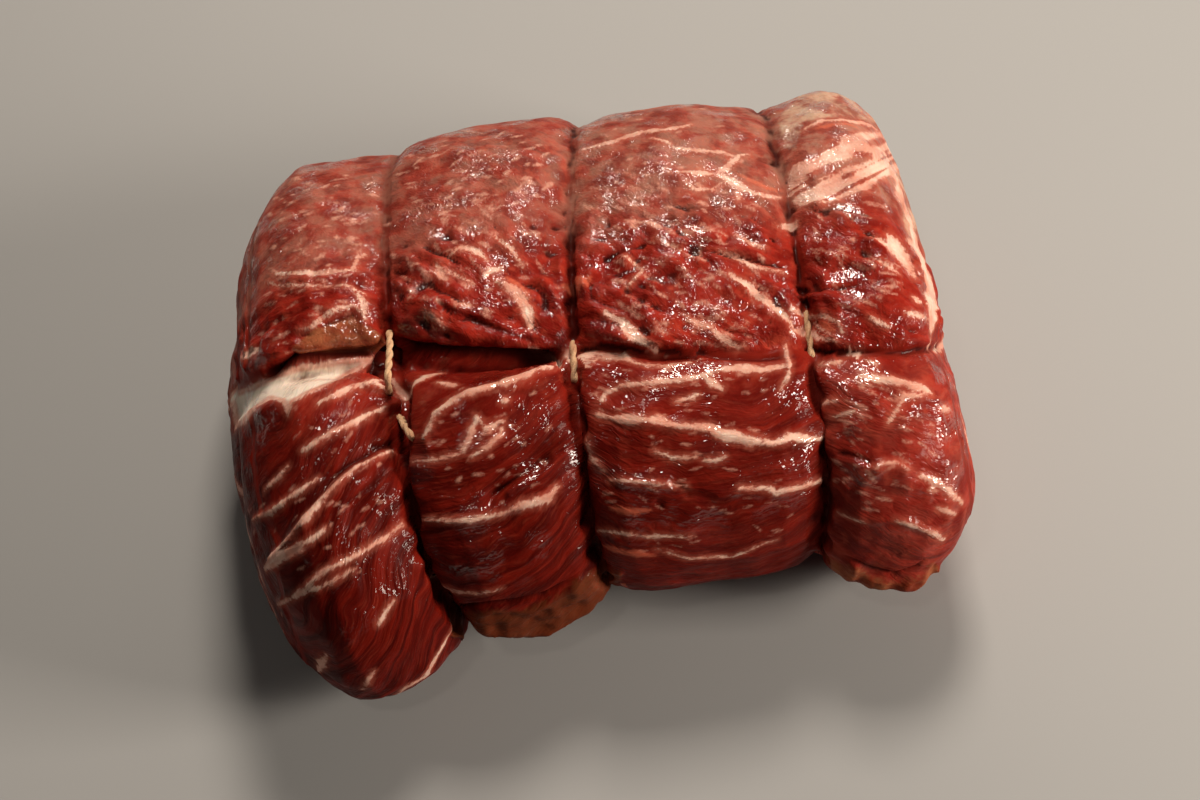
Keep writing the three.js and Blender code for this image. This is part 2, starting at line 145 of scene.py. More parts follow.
def to_pixels(points):
    """Where points (metres) show in the photograph."""
    offset = points - EYE
    depth = -offset @ BACKWARD
    across = PHOTO_SIZE[0] / 2 + FOCAL_PX * (offset @ RIGHT) / depth
    down = PHOTO_SIZE[1] / 2 - FOCAL_PX * (offset @ UPWARD) / depth
    return np.stack([across, down], axis=1)


def new_object(name, vertices, faces):
    """A mesh object in the scene, from places in metres."""
    mesh = bpy.data.meshes.new(name)
    mesh.from_pydata([tuple(v) for v in vertices], [], faces)
    mesh.update()
    obj = bpy.data.objects.new(name, mesh)
    bpy.context.scene.collection.objects.link(obj)
    return obj


def shade_smooth(obj):
    """Lets the faces of an object shade into one another."""
    for polygon in obj.data.polygons:
        polygon.use_smooth = True
    obj.data.update()


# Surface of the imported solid, for laying lines on it.

def packed_mesh(node):
    """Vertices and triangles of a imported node, with the doubled vertices merged."""
    bm = bmesh.new()
    bm.from_mesh(NODES[node].data)
    bmesh.ops.remove_doubles(bm, verts=bm.verts, dist=1e-6)
    vertices = np.array([v.co for v in bm.verts], float)
    triangles = [[v.index for v in f.verts] for f in bm.faces]
    bm.free()
    return vertices, triangles


meat_vertices, meat_triangles = packed_mesh("meat")
meat_tree = BVHTree.FromPolygons([tuple(v) for v in meat_vertices], meat_triangles)


def cast(origin, direction):
    """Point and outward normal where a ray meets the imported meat, as a list of one or none."""
    place, normal, _, _ = meat_tree.ray_cast(Vector(origin), Vector(direction))
    if place is None:
        return []
    normal = np.array(normal)
    if normal @ np.asarray(direction) > 0:
        normal = -normal
    return [(np.array(place), normal)]


def on_photo(pixels):
    """The run of surface points under a run of pixels."""
    pixels = np.asarray(pixels, float)
    steps = []
    for a, b in zip(pixels[:-1], pixels[1:]):
        count = max(1, round(math.dist(a, b) / LINE_STEP_PX))
        steps += [a + (b - a) * k / count for k in range(count)]
    steps.append(pixels[-1])
    found = []
    for x, y in steps:
        ray = (RIGHT * (x - PHOTO_SIZE[0] / 2) + UPWARD * (PHOTO_SIZE[1] / 2 - y)) / FOCAL_PX - BACKWARD
        found += cast(EYE, unit(ray))
    return found


def on_side(level, direction):
    """The run of surface points met along a level direction, at places given as two sizes in mm."""
    found = []
    for a, z in np.asarray(level) * MM:
        start = -RAY_START * np.array(direction)
        origin = (start[0], a, z) if direction[0] else (a, start[1], z)
        found += cast(origin, direction)
    return found


# Twine: the centre line of each packed turn.

RING_NODES = ("twine_left", "twine_middle", "twine_right")
RING_WAVES = 9
RING_POINTS = 360
RING_ANGLES = np.arange(RING_POINTS) * 360 / RING_POINTS
KNOT_SPAN = (100, 130)  # degrees round the section that the knot and its tail take on the left turn
SEEN_ANGLE = 200  # beyond it the turns are out of the photograph's sight


def section_angle(points_mm):
    """Angle in degrees round the long axis: 0 at the back, 90 at the top, 180 at the front."""
    return np.degrees(np.arctan2(points_mm[:, 2] - AXIS_HEIGHT_MM, points_mm[:, 1])) % 360


def ring_line(node):
    """Centre line (mm) of one turn of twine, evenly spaced in angle, as a smooth fit to its tube."""
    vertices, _ = packed_mesh(node)
    points = vertices / MM
    angles = section_angle(points)
    if node == "twine_left":
        keep = (angles < KNOT_SPAN[0]) | (angles > KNOT_SPAN[1])
        points, angles = points[keep], angles[keep]

    def waves(degrees):
        turns = np.radians(degrees)[:, None] * np.arange(1, RING_WAVES + 1)
        return np.hstack([np.ones((len(degrees), 1)), np.cos(turns), np.sin(turns)])

    fit = np.linalg.lstsq(waves(angles), points, rcond=None)[0]
    return waves(RING_ANGLES) @ fit


RINGS = {node: ring_line(node) for node in RING_NODES}
TUBE_SIDE = np.array([0.9, 0.31, 0.3])  # any direction that no twine runs along
TUBE_SIDES = 8


def sideways(line, closed):
    """Two unit directions square to a line, at each of its points."""
    if closed:
        ahead = np.roll(line, -1, axis=0) - np.roll(line, 1, axis=0)
    else:
        ahead = np.gradient(line, axis=0)
    ahead = unit(ahead)
    across = unit(np.cross(ahead, TUBE_SIDE))
    return across, np.cross(ahead, across)


def tube(line, radius, closed=True):
    """Vertices and faces of a tube along a line."""
    count = len(line)
    across, other = sideways(line, closed)
    turns = np.arange(TUBE_SIDES)[:, None] * 2 * math.pi / TUBE_SIDES
    ring = np.cos(turns) * across[:, None] + np.sin(turns) * other[:, None]
    start = np.arange(count if closed else count - 1)[:, None] * TUBE_SIDES
    after = (start + TUBE_SIDES) % (count * TUBE_SIDES)
    side = np.arange(TUBE_SIDES)
    beside = (side + 1) % TUBE_SIDES
    corners = [start + side, start + beside, after + beside, after + side]
    faces = np.stack(corners, axis=2).reshape(-1, 4).tolist()
    if not closed:
        faces += [side[::-1].tolist(), (side + (count - 1) * TUBE_SIDES).tolist()]
    return (line[:, None] + radius * ring).reshape(-1, 3), faces


def joined(parts):
    """One list of vertices and one of faces, from several."""
    vertices, faces, start = [], [], 0
    for part_vertices, part_faces in parts:
        vertices.append(part_vertices)
        faces += [tuple(i + start for i in face) for face in part_faces]
        start += len(part_vertices)
    return np.concatenate(vertices), faces


# Pixel rows of the photograph between which each turn lies bare on top of the meat.
BARE_ROWS = {"twine_left": (336, 384), "twine_middle": (346, 380), "twine_right": (312, 358)}
BARE_FADE_PX = 9
BRIDGE_ROWS = (332, 404)  # between these the left turn crosses the open crease
END_DROP_MM = 3.0
END_DROP_STEPS = 8
FILLER_DROP_MM = 1.5


def inward_of(line):
    """Unit directions from a line towards the roast's long axis."""
    inward = -line
    inward[:, 0] = 0
    inward[:, 2] += AXIS_HEIGHT_MM
    return unit(inward)


def row_of(line):
    """The pixel row of the photograph at each point (mm) of a line."""
    return to_pixels(line * MM)[:, 1]


def bareness(node, line):
    """1 where a turn of twine lies bare on top of the meat, 0 elsewhere."""
    low, high = BARE_ROWS[node]
    bare = window(row_of(line), (low - BARE_FADE_PX, low), (high + BARE_FADE_PX, high))
    return bare * (section_angle(line) < SEEN_ANGLE)


RING_BARENESS = {node: bareness(node, line) for node, line in RINGS.items()}


def at_rings(points_mm):
    """Each point's lobe, and of the nearest turn of twine: its number, the way to it, its bareness."""
    turn = section_angle(points_mm)
    side = points_mm[:, 0] - [np.interp(turn, RING_ANGLES, r[:, 0], period=360) for r in RINGS.values()]
    bare = np.array([np.interp(turn, RING_ANGLES, r) for r in RING_BARENESS.values()])
    nearest = np.abs(side).argmin(axis=0)
    here = (nearest, np.arange(len(nearest)))
    return (side > 0).sum(axis=0), nearest, side[here], bare[here]


# Base surface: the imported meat, remeshed finely with its channels filled.

def filler(node, line):
    """Tube in metres that fills the channel of one turn, but for where the left one is bridged."""
    closed = node != "twine_left"
    if closed:
        drop = FILLER_DROP_MM * RING_BARENESS[node]
    else:
        row = row_of(line)
        bridged = (row > BRIDGE_ROWS[0]) & (row < BRIDGE_ROWS[1]) & (section_angle(line) < SEEN_ANGLE)
        line = np.roll(line, -np.flatnonzero(bridged).max() - 1, axis=0)[: (~bridged).sum()]
        from_end = np.minimum(np.arange(len(line)), np.arange(len(line))[::-1])
        drop = END_DROP_MM * smooth(END_DROP_STEPS, 0, from_end)
    line = line + inward_of(line) * drop[:, None]
    vertices, faces = tube(line, TWINE_RADIUS_MM + CHANNEL_FILL_MM, closed)
    return vertices * MM, faces


def fine_surface():
    """Vertices (mm) and quads of the meat's fine base surface."""
    fillers = [filler(node, line) for node, line in RINGS.items()]
    core = new_object("core", *joined([(meat_vertices, meat_triangles), *fillers]))
    remesh = core.modifiers.new("remesh", "REMESH")
    remesh.mode = "VOXEL"
    remesh.voxel_size = VOXEL_MM * MM
    mesh = core.evaluated_get(bpy.context.evaluated_depsgraph_get()).data
    vertices = np.zeros(len(mesh.vertices) * 3, np.float32)
    mesh.vertices.foreach_get("co", vertices)
    quads = np.zeros(len(mesh.loops), np.int32)
    mesh.loops.foreach_get("vertex_index", quads)
    bpy.data.objects.remove(core)
    return vertices.reshape(-1, 3).astype(float) / MM, quads.reshape(-1, 4)


def edges_of(quads):
    """The pairs of vertices that share an edge, each pair once."""
    pairs = np.concatenate([quads[:, [k, (k + 1) % 4]] for k in range(4)])
    return np.unique(np.sort(pairs, axis=1), axis=0)


def neighbour_mean(values, edges):
    """Mean of each vertex's neighbours, for an array of one or more columns."""
    count = len(values)
    degree = np.maximum(np.bincount(edges.ravel(), minlength=count), 1)
    first, second = edges.T
    means = [
        (np.bincount(first, column[second], count) + np.bincount(second, column[first], count)) / degree
        for column in values.reshape(count, -1).T
    ]
    return np.stack(means, axis=1).reshape(values.shape)


def normals_of(points, quads):
    """Outward unit normal at each vertex."""
    face = np.cross(points[quads[:, 2]] - points[quads[:, 0]], points[quads[:, 3]] - points[quads[:, 1]])
    corners = quads.ravel()
    return unit(np.stack([np.bincount(corners, np.repeat(f, 4), len(points)) for f in face.T], axis=1))


# The crease between the two folds, as pixels of the photograph.
CREASE = places(
    "228,392 250,378 290,361 340,352 390,350 450,352 500,355 550,358 600,346 650,352 700,353 750,353 "
    "800,352 860,352 900,352 945,345"
)

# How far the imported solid's sharp valleys ease out: across each turn at the top and back, across
# each turn at the front, and along the crease in each lobe.
EASE_ROUNDS = 160
EASE_TOP = 0.7
EASE_FRONT = [0.06, 0.12, 0.4]
EASE_CREASE = [0, 0.03, 0.2, 0.7]
EASE_BARE = 0.5
EASE_GROOVE_MM = (7, 2)
EASE_CREASE_PX = (30, 10)
EASE_LEAST = 0.01
FRONT_TURN = ((95, 135), (250, 215))  # the front, in degrees round the section


def below_crease(pixels):
    """How many rows each place in the photograph lies below the crease."""
    return pixels[:, 1] - np.interp(pixels[:, 0], *CREASE.T)


def ease_share(points_mm):
    """How strongly each vertex is drawn to the mean of its neighbours."""
    turn = section_angle(points_mm)
    lobe, nearest, side, bare = at_rings(points_mm)
    front = window(turn, *FRONT_TURN)
    across = EASE_TOP + (np.take(EASE_FRONT, nearest) - EASE_TOP) * front
    from_crease = np.abs(below_crease(to_pixels(points_mm * MM)))
    along = np.take(EASE_CREASE, lobe) * smooth(*EASE_CREASE_PX, from_crease) * (turn < 180)
    return np.maximum(across * smooth(*EASE_GROOVE_MM, np.abs(side)), along) * (1 - EASE_BARE * bare)


def eased(points_mm, edges):
    """The points with their sharp valleys eased out."""
    share = ease_share(points_mm)
    near = edges[(share[edges] > EASE_LEAST).any(axis=1)]
    used, place = np.unique(near, return_inverse=True)
    near = place.reshape(near.shape)
    part = points_mm[used]
    weight = share[used][:, None]
    for _ in range(EASE_ROUNDS):
        part += weight * (neighbour_mean(part, near) - part)
    result = points_mm.copy()
    inner = share[used] > EASE_LEAST
    result[used[inner]] = part[inner]
    return result


base, quads = fine_surface()
edges = edges_of(quads)
for step in SMOOTH_STEPS * SMOOTH_ROUNDS:
    base += step * (neighbour_mean(base, edges) - base)
base = eased(base, edges)
soft = base.copy()
for _ in range(4 * SMOOTH_ROUNDS):
    soft = neighbour_mean(soft, edges)
soft_normals = normals_of(soft, quads)

# Where each vertex lies: its lobe, the way to the nearest turn of twine, the ends, the way round.

UNDER_ANGLE = 268  # the grain of the two folds meets under the roast, where it rests
# The lower fold is what lies below the crease past the first angle, and everything past the second.
LOWER_FROM = (60, 150)
CAP_FROM_MM = 85
CAP_TILT = (0.7, 0.92)
pixels = to_pixels(base * MM)
angles = section_angle(base)
x_mm, y_mm, z_mm = base.T
lobe, _, groove_side, bare_here = at_rings(base)
groove = np.abs(groove_side)
cap = smooth(*CAP_TILT, np.abs(soft_normals[:, 0])) * (np.abs(x_mm) > CAP_FROM_MM)

middle = RINGS["twine_middle"]
round_middle = path_length(np.vstack([middle, middle[:1]]))
under = angles > UNDER_ANGLE
around = np.interp(angles, np.append(RING_ANGLES, 360), round_middle) - round_middle[-1] * under
from_back = angles - 360 * under
facing = soft_normals @ BACKWARD
lower = (below_crease(pixels) > 0) & (angles > LOWER_FROM[0]) | (angles > LOWER_FROM[1])
lower &= angles < UNDER_ANGLE


# Fields over the meat. Height is in mm; fat, skin and the like grow from their edge inwards, in mm.

FIELD_FLOOR = -6.0
FIELD_CEILING = 6.0
HORIZON_MM = 13  # a patch of the photograph ends this softly where the meat turns from the camera
HORIZON_EDGE_MM = 1.5
MM_PER_PX = 0.3
height = np.zeros(len(base))
dark = np.zeros(len(base))
fields = {name: np.full(len(base), FIELD_FLOOR) for name in ("fat", "skin", "amber", "fleck")}
swell = lattice_noise(base, 3.2, 15)
SWELL_SHARE = 0.6
STREAK_END = 0.45  # share of its width that a streak keeps at its ends
SAME_SIDE = -0.2  # least cosine between a run's own normal and that of the surface it marks


def grow(name, inside):
    """Adds to a field: it keeps the larger value."""
    fields[name] = np.maximum(fields[name], inside)


class Run:
    """A run of surface points, and where the meat's vertices lie against it."""

    def __init__(self, hits, reach_mm):
        if len(hits) < 2:
            self.at = np.zeros(0, int)
            self.side, self.gap, self.share = np.zeros((3, 0))
            return
        points = np.array([place for place, _ in hits]) / MM
        normals = np.array([normal for _, normal in hits])
        ahead = unit(np.gradient(points, axis=0))
        side = unit(np.cross(normals, ahead))
        length = path_length(points)
        low, high = points.min(axis=0) - reach_mm, points.max(axis=0) + reach_mm
        at = np.flatnonzero(np.all((base > low) & (base < high), axis=1))
        near = base[at]
        best = np.full(len(near), np.inf)
        nearest = np.zeros(len(near), int)
        for k, point in enumerate(points):
            gap = ((near - point) ** 2).sum(axis=1)
            closer = gap < best
            best[closer] = gap[closer]
            nearest[closer] = k
        offset = near - points[nearest]
        forward = (offset * ahead[nearest]).sum(axis=1)
        aside = (offset * side[nearest]).sum(axis=1)  # left of the run is positive
        past = (nearest == 0) & (forward < 0) | (nearest == len(points) - 1) & (forward > 0)
        gap = np.hypot(aside, np.where(past, np.abs(forward), 0))
        share = np.clip((length[nearest] + forward) / max(length[-1], 1e-9), 0, 1)
        off_surface = np.abs((offset * normals[nearest]).sum(axis=1))
        same_side = (soft_normals[at] * normals[nearest]).sum(axis=1) > SAME_SIDE
        fits = (gap < reach_mm) & same_side & (off_surface < reach_mm)
        self.at, self.side, self.gap, self.share = at[fits], aside[fits], gap[fits], share[fits]

    def taper(self, ends, start=-0.01):
        """1 along the run, falling to 0 over the share called ends at both of its ends."""
        return smooth(start, ends, self.share) * smooth(start, ends, 1 - self.share)


def streak(hits, half_width, rise=0.35, ends=0.35, field="fat"):
    """A streak of fat, or of another field: a band, a little raised, that thins towards both ends."""
    run = Run(hits, half_width * 2 + 6)
    width = half_width * (STREAK_END + (1 - STREAK_END) * run.taper(ends, -0.02))
    width *= 1 + SWELL_SHARE * swell[run.at]
    values = fields[field]
    values[run.at] = np.maximum(values[run.at], width - run.gap)
    height[run.at] += rise * np.clip(1 - (run.gap / (width * 1.3)) ** 2, 0, 1)


def speck(hits, half_width):
    """A short soft fleck of fat."""
    streak(hits, half_width, 0.12, 0.5, "fleck")


def fold(hits, rise, left, right):
    """A step in the surface: highest on the run, falling away over left and right millimetres."""
    run = Run(hits, 3 * max(left, right))
    fall = np.where(run.side > 0, left, right)
    height[run.at] += rise * run.taper(0.18) * np.exp(-((run.gap / fall) ** 2) * 1.2)


def cut(hits, depth, half_width, gloom, ends=0.2):
    """A narrow trench whose floor is painted dark, as painted shade."""
    run = Run(hits, 4 * half_width)
    profile = run.taper(ends) * np.exp(-((run.gap / half_width) ** 2))
    height[run.at] -= depth * profile
    # painted shade: the floor's colour is darkened by gloom
    dark[run.at] = np.maximum(dark[run.at], gloom * profile)


def inside_outline(outline):
    """Signed distance in mm from the outline of a patch of the photograph, positive inside it."""
    corners = places(outline)
    inside = np.zeros(len(pixels), bool)
    gap = np.full(len(pixels), np.inf)
    px, py = pixels.T
    for (ax, ay), (bx, by) in zip(corners, np.roll(corners, -1, axis=0)):
        wide, tall = bx - ax, by - ay
        crosses = (ay > py) != (by > py)
        inside ^= crosses & (px < ax + (py - ay) / (tall or 1e-9) * wide)
        along = np.clip(((px - ax) * wide + (py - ay) * tall) / (wide**2 + tall**2), 0, 1)
        gap = np.minimum(gap, np.hypot(px - ax - along * wide, py - ay - along * tall))
    signed = np.where(inside, gap, -gap) * MM_PER_PX
    return np.maximum(np.minimum(signed, HORIZON_MM * facing - HORIZON_EDGE_MM), FIELD_FLOOR)


def share_of(outline, low=-0.6, high=0.8):
    """1 inside the outline of a patch, 0 outside, with a soft edge."""
    return smooth(low, high, inside_outline(outline))


# Fat streaks that show: half width in mm, then the run of pixels.
STREAKS = {
    "lobe1_bar": (1.0, "277,274 300,274 327,275 352,272 358,257 365,255"),
    "lobe1_thread": (0.35, "266,282 283,287 310,287 342,286 354,288 365,295"),
    "flap_lip": (0.6, "300,331 312,328 325,317 339,310 354,307 360,312"),
    "flap_edge": (0.6, "354,291 362,303 364,318"),
    "roll_spot": (1.1, "243,357 262,350"),
    "lobe1_a": (0.8, "318,404 351,389 385,380"),
    "lobe1_b": (0.75, "302,451 324,437 346,427 365,417 383,408"),
    "lobe1_c": (0.5, "264,490 275,480 287,466"),
    "lobe1_d": (0.6, "253,520 272,512 288,500 317,478"),
    "strip_edge": (0.55, "264,568 281,548 300,526 317,504 336,485 356,468 392,450"),
    "strip_white": (1.4, "300,527 312,513 322,503"),
    "strip_wedge": (1.2, "264,569 290,552 308,541 324,530"),
    "lobe1_e": (0.6, "278,604 300,594 322,572 356,555 385,538 402,524"),
    "lobe1_f": (0.5, "300,594 330,583 352,570"),
    "lobe1_g": (0.8, "379,624 386,612 394,601"),
    "lobe1_h": (1.2, "313,680 319,668 325,657"),
    "lobe1_i": (0.5, "363,691 369,680 374,671"),
    "lobe1_rim": (0.9, "390,697 426,676 445,644 452,622"),
    "lobe2_hat": (1.0, "450,257 462,249 474,251 488,261"),
    "lobe2_left": (1.3, "437,267 443,278 449,282"),
    "lobe2_left_tail": (0.5, "443,270 458,276 468,281"),
    "lobe2_blob": (1.4, "484,277 490,272 501,268"),
    "lobe2_thread": (0.5, "493,236 512,251 523,266"),
    "lobe2_band": (1.7, "496,281 514,291 525,308 531,326"),
    "lobe2_line": (0.45, "427,314 440,322 446,330"),
    "lobe2_small": (0.7, "458,305 472,306"),
    "shelf_a": (1.3, "400,393 410,383 426,375 441,373"),
    "shelf_b": (0.7, "437,382 457,386"),
    "ridge_fat": (0.95, "424,437 435,415 449,403 469,393 493,387 517,380 534,373 552,367"),
    "tooth": (0.9, "556,366 562,357 567,349"),
    "wye_a": (1.0, "463,451 469,437 477,418"),
    "wye_b": (0.7, "477,417 487,429 503,421"),
    "wye_c": (0.6, "503,421 501,433 489,445 471,457"),
    "wye_d": (0.4, "418,461 439,459 459,454"),
    "white_dot": (1.0, "502,401 507,400"),
    "lobe2_pale": (1.1, "513,509 530,503 548,498 557,487"),
    "lobe2_belt": (0.5, "422,520 469,520 501,514 517,508"),
    "lobe2_arc": (0.4, "437,581 455,593 479,595 501,589"),
    "lobe3_top_a": (1.0, "583,150 612,141 641,132 665,129 690,124"),
    "lobe3_top_b": (0.7, "651,138 665,141 675,147 698,150 719,152 732,155 749,154"),
    "lobe3_stem": (1.5, "739,156 727,166 717,172"),
    "lobe3_left_arm": (0.7, "717,172 702,173 678,172"),
    "lobe3_right_arm": (1.4, "717,172 732,180 746,190 754,195"),
    "lobe3_arm_end": (0.7, "754,194 766,197 780,196"),
    "lobe3_foot": (0.8, "737,186 738,202"),
    "lobe3_hook": (0.5, "683,180 695,190 712,188 724,181"),
    "lobe3_a": (0.9, "634,221 651,223 661,229"),
    "lobe3_b": (0.55, "656,239 668,246 680,251"),
    "lobe3_c": (0.8, "736,234 753,244 764,248"),
    "lobe3_d": (0.6, "719,252 732,256 756,267 785,272"),
    "lobe3_zig": (0.45, "626,258 636,264 642,270 636,278 627,288"),
    "lobe3_long": (1.1, "729,276 748,286 761,298 778,310 793,327"),
    "lobe3_e": (1.2, "606,313 622,323 636,337 656,350"),
    "lobe3_f": (1.1, "688,320 710,328 727,343 741,350"),
    "lobe3_rim": (1.0, "575,372 575,361 582,354 596,352 615,356 629,361 647,365"),
    "lobe3_rim_thin": (0.6, "640,364 666,365 691,361"),
    "lobe3_g": (0.8, "601,400 604,394 622,385 646,382 673,380 697,376 716,370"),
    "lobe3_h": (1.1, "716,370 739,367 765,369 789,364"),
    "lobe3_j": (0.5, "785,347 790,364 789,375 780,390"),
    "lobe3_k": (0.9, "706,377 713,384 722,388"),
    "lobe3_l": (0.5, "675,401 688,399 699,394"),
    "lobe3_main_a": (1.1, "596,414 611,418 635,420 656,421 673,426 691,427"),
    "lobe3_main_b": (1.4, "691,427 711,427 720,433 735,438 756,442 773,444"),
    "lobe3_main_c": (1.2, "777,443 790,438 816,439"),
    "lobe3_side": (0.4, "589,437 592,456 603,471"),
    "lobe3_m": (0.45, "654,451 673,458 697,457"),
    "lobe3_n": (0.7, "704,460 714,461 725,457"),
    "lobe3_o": (0.35, "610,480 644,482 687,487"),
    "lobe3_p": (0.6, "739,488 768,487 775,492 794,488 820,480"),
    "lobe3_q": (0.4, "601,531 647,537 691,536"),
    "lobe3_r": (0.4, "656,550 691,559 734,556 765,545 778,542"),
    "lobe4_stripe": (0.9, "804,128 821,120 843,118 865,122 878,130"),
    "lobe4_a": (0.7, "870,237 888,246 900,254"),
    "lobe4_c": (0.6, "878,261 900,273"),
    "lobe4_d": (0.9, "913,298 921,302"),
    "lobe4_e": (0.6, "870,317 888,327"),
    "lobe4_f": (0.6, "906,313 925,317"),
    "lobe4_knob": (1.0, "793,230 797,221"),
    "lobe4_pocket_a": (0.7, "805,318 809,328 818,338 836,341"),
    "lobe4_pocket_b": (0.6, "806,318 822,315 838,322 842,332"),
    "lobe4_pocket_c": (0.35, "812,322 818,328 832,334"),
    "lobe4_band_a": (1.0, "793,172 800,163 816,156"),
    "lobe4_g": (0.8, "819,363 840,360"),
    "lobe4_h": (1.0, "848,356 860,351"),
    "lobe4_i": (0.6, "867,360 878,364"),
    "lobe4_j": (1.4, "860,375 876,379 893,380 909,384"),
    "lobe4_k": (1.1, "909,386 922,388 931,392"),
    "lobe4_l": (0.7, "926,395 904,397 899,406 888,423"),
    "lobe4_m": (1.0, "941,409 949,409"),
    "lobe4_n": (0.6, "826,402 838,401"),
    "lobe4_o": (0.6, "838,416 855,411"),
    "lobe4_arc": (0.5, "874,469 883,463 897,463 909,470"),
    "star_a": (1.0, "921,476 936,482 944,487 955,496 962,503"),
    "star_b": (0.8, "936,482 931,489"),
    "lobe4_p": (0.9, "938,509 955,514"),
    "lobe4_q": (0.6, "840,514 864,524"),
    "lobe4_r": (0.8, "895,520 914,526 933,533 944,540"),
}

# Orange-red seams and lumps: half width in mm, then the pixels.
AMBER = {
    "lobe3_arm": (0.7, "736,172 750,180 764,186 780,190"),
    "lobe4_stripe": (0.9, "816,127 830,124 846,123 858,126"),
    "lobe4_pocket": (1.2, "818,322 826,327 834,330"),
    "lobe3_bump": (2.2, "572,290 580,284 588,279"),
    "lobe2_band_side": (0.8, "500,276 518,284 530,300"),
    "lobe3_low": (1.2, "600,545 625,552 655,556"),
    "lobe3_mid": (1.0, "612,508 632,512 650,510"),
    "lobe2_foot": (1.2, "590,578 602,582 612,584"),
    "lobe1_wall": (0.9, "300,356 330,350 372,346"),
}

# Folds that show: rise, fall to the left and to the right of the run in mm, then the pixels.
FOLDS = {
    "flap": (0.9, 6, 1.0, "285,331 312,329 327,318 339,312 354,310 362,318"),
    "roll": (1.6, 3, 3, "244,372 262,362 290,350"),
    "bar_step": (0.7, 5, 1.2, "262,280 300,281 350,278 366,262"),
    "slab": (0.9, 1.5, 5, "232,430 250,412 275,402 300,400 345,378 385,362"),
    "strip": (1.6, 1.3, 4, "264,568 300,526 336,485 356,468 394,450"),
    "strip_low": (0.8, 3, 1.2, "268,570 300,550 327,530 346,505 375,488 396,466"),
    "lobe1_a": (0.7, 1.2, 3, STREAKS["lobe1_a"][1]),
    "lobe1_b": (0.9, 1.4, 4, "300,453 346,427 383,408"),
    "lobe1_d": (0.7, 1.2, 3, "250,522 288,500 320,476"),
    "lobe1_e": (0.8, 1.4, 4, "275,606 322,574 356,556 404,522"),
    "lobe2_ridge": (1.5, 1.5, 4, "424,440 435,415 469,393 517,380 556,364"),
    "lobe2_lip": (1.6, 4, 1.6, "392,324 427,315 446,328 500,345 560,352"),
    "lobe2_lip_up": (1.0, 3, 1.2, "400,300 440,306 475,318 510,332"),
    "lobe2_band": (0.8, 2, 2, STREAKS["lobe2_band"][1]),
    "lobe2_cut_lip": (1.0, 1.0, 3, "488,504 510,490 530,476 550,456"),
    "lobe2_belt": (0.8, 3, 1.2, "420,522 470,521 520,508 560,490"),
    "lobe2_bump": (1.8, 3, 3, "574,290 588,284"),
    "lobe3_shelf": (0.9, 4, 1.2, "640,222 680,244 730,252 790,262"),
    "lobe3_glossy": (0.6, 1.0, 2, "676,225 700,232 730,238"),
    "lobe3_low": (0.9, 3, 1.3, "590,330 640,345 700,340 760,345"),
    "lobe3_main": (0.7, 2.5, 1.2, "594,418 656,425 700,430 776,446 820,440"),
    "lobe3_p": (0.7, 3, 1.3, "690,500 740,492 780,494 822,480"),
    "lobe3_n": (0.8, 3, 1.2, "605,482 650,486 700,492"),
    "lobe4_shelf": (0.6, 3, 1.5, "800,206 830,208 875,222 905,232"),
    "lobe4_band": (1.0, 2, 1.5, "806,258 840,255 872,268 905,290"),
    "lobe4_pocket": (0.9, 2, 1.4, "800,300 825,296 850,305 880,322"),
    "lobe4_fan": (1.0, 1.5, 3, "818,440 850,428 874,410 888,390"),
    "lobe4_bowl": (0.9, 1.4, 4, "868,474 883,462 897,462 912,474"),
    "lobe4_low": (0.9, 2.5, 1.4, "832,508 866,522 900,520 944,538"),
    "knob": (2.6, 3, 3, "812,545 828,542"),
    "strand_cover": (2.2, 2.6, 2.6, "380,406 390,403 400,406"),
}

# Cuts and creases that show: depth and half width in mm, gloom (how dark the floor is painted, as painted
# shade), then the pixels.
CUTS = {
    "lobe2_cut": (1.3, 0.9, 0.6, "489,500 520,475 552,452"),
    "strip_under": (1.0, 1.0, 0.6, "335,512 352,500 380,480 398,468"),
    "strip_over": (1.0, 1.0, 0.7, "300,515 330,478 350,462 385,444"),
    "flap_under": (0.6, 0.9, 0.35, "287,336 312,334 330,322 352,315 362,324"),
    "roll_under": (2.2, 1.4, 0.9, "262,372 290,358 300,350"),
    "lobe2_slot": (1.2, 0.9, 0.7, "425,300 455,312 500,330 545,345"),
    "lobe3_crease": (0.9, 0.8, 0.6, "600,262 620,252 650,244"),
    "lobe3_slot": (1.0, 0.8, 0.6, "655,232 700,250 760,262 795,268"),
    "lobe4_slot": (0.6, 0.7, 0.7, "803,212 835,208 858,214 880,223"),
    "lobe4_slot_low": (1.0, 0.8, 0.7, "806,292 850,285 868,282"),
    "lobe4_pit": (1.0, 1.6, 0.5, "802,300 812,305"),
    "lobe4_gap": (1.0, 1.0, 0.7, "836,452 860,458 876,464"),
    "lobe3_dent": (0.8, 1.2, 0.6, "655,500 664,508"),
    "lobe3_dent_low": (0.8, 1.2, 0.5, "668,478 690,494 720,498"),
    "lobe1_gap": (1.4, 1.4, 0.9, "368,448 388,444 396,446"),
    "lobe2_foot": (2.2, 1.3, 0.9, "450,609 480,607 510,605 545,597 568,584 588,570"),
    "lobe4_foot": (1.2, 1.0, 0.7, "838,556 865,568 895,574 918,567 932,556"),
}

# The crease between the two folds, open on the left, with painted shade in its floor, and nearly shut on
# the right: the same, and the share of its length over which each end tapers off.
CREASE_CUTS = {
    "left": (3.5, 1.8, 0.9, 0.1, "262,373 290,362 340,353 388,350"),
    "second": (6.0, 2.4, 1.0, 0.08, "396,350 430,352 470,356 510,356 562,357"),
    "third": (1.5, 1.2, 0.6, 0.1, "574,352 600,346 650,355 700,355 760,356 800,354"),
    "right": (1.3, 1.5, 0.45, 0.1, "812,354 860,350 905,352 943,346"),
}

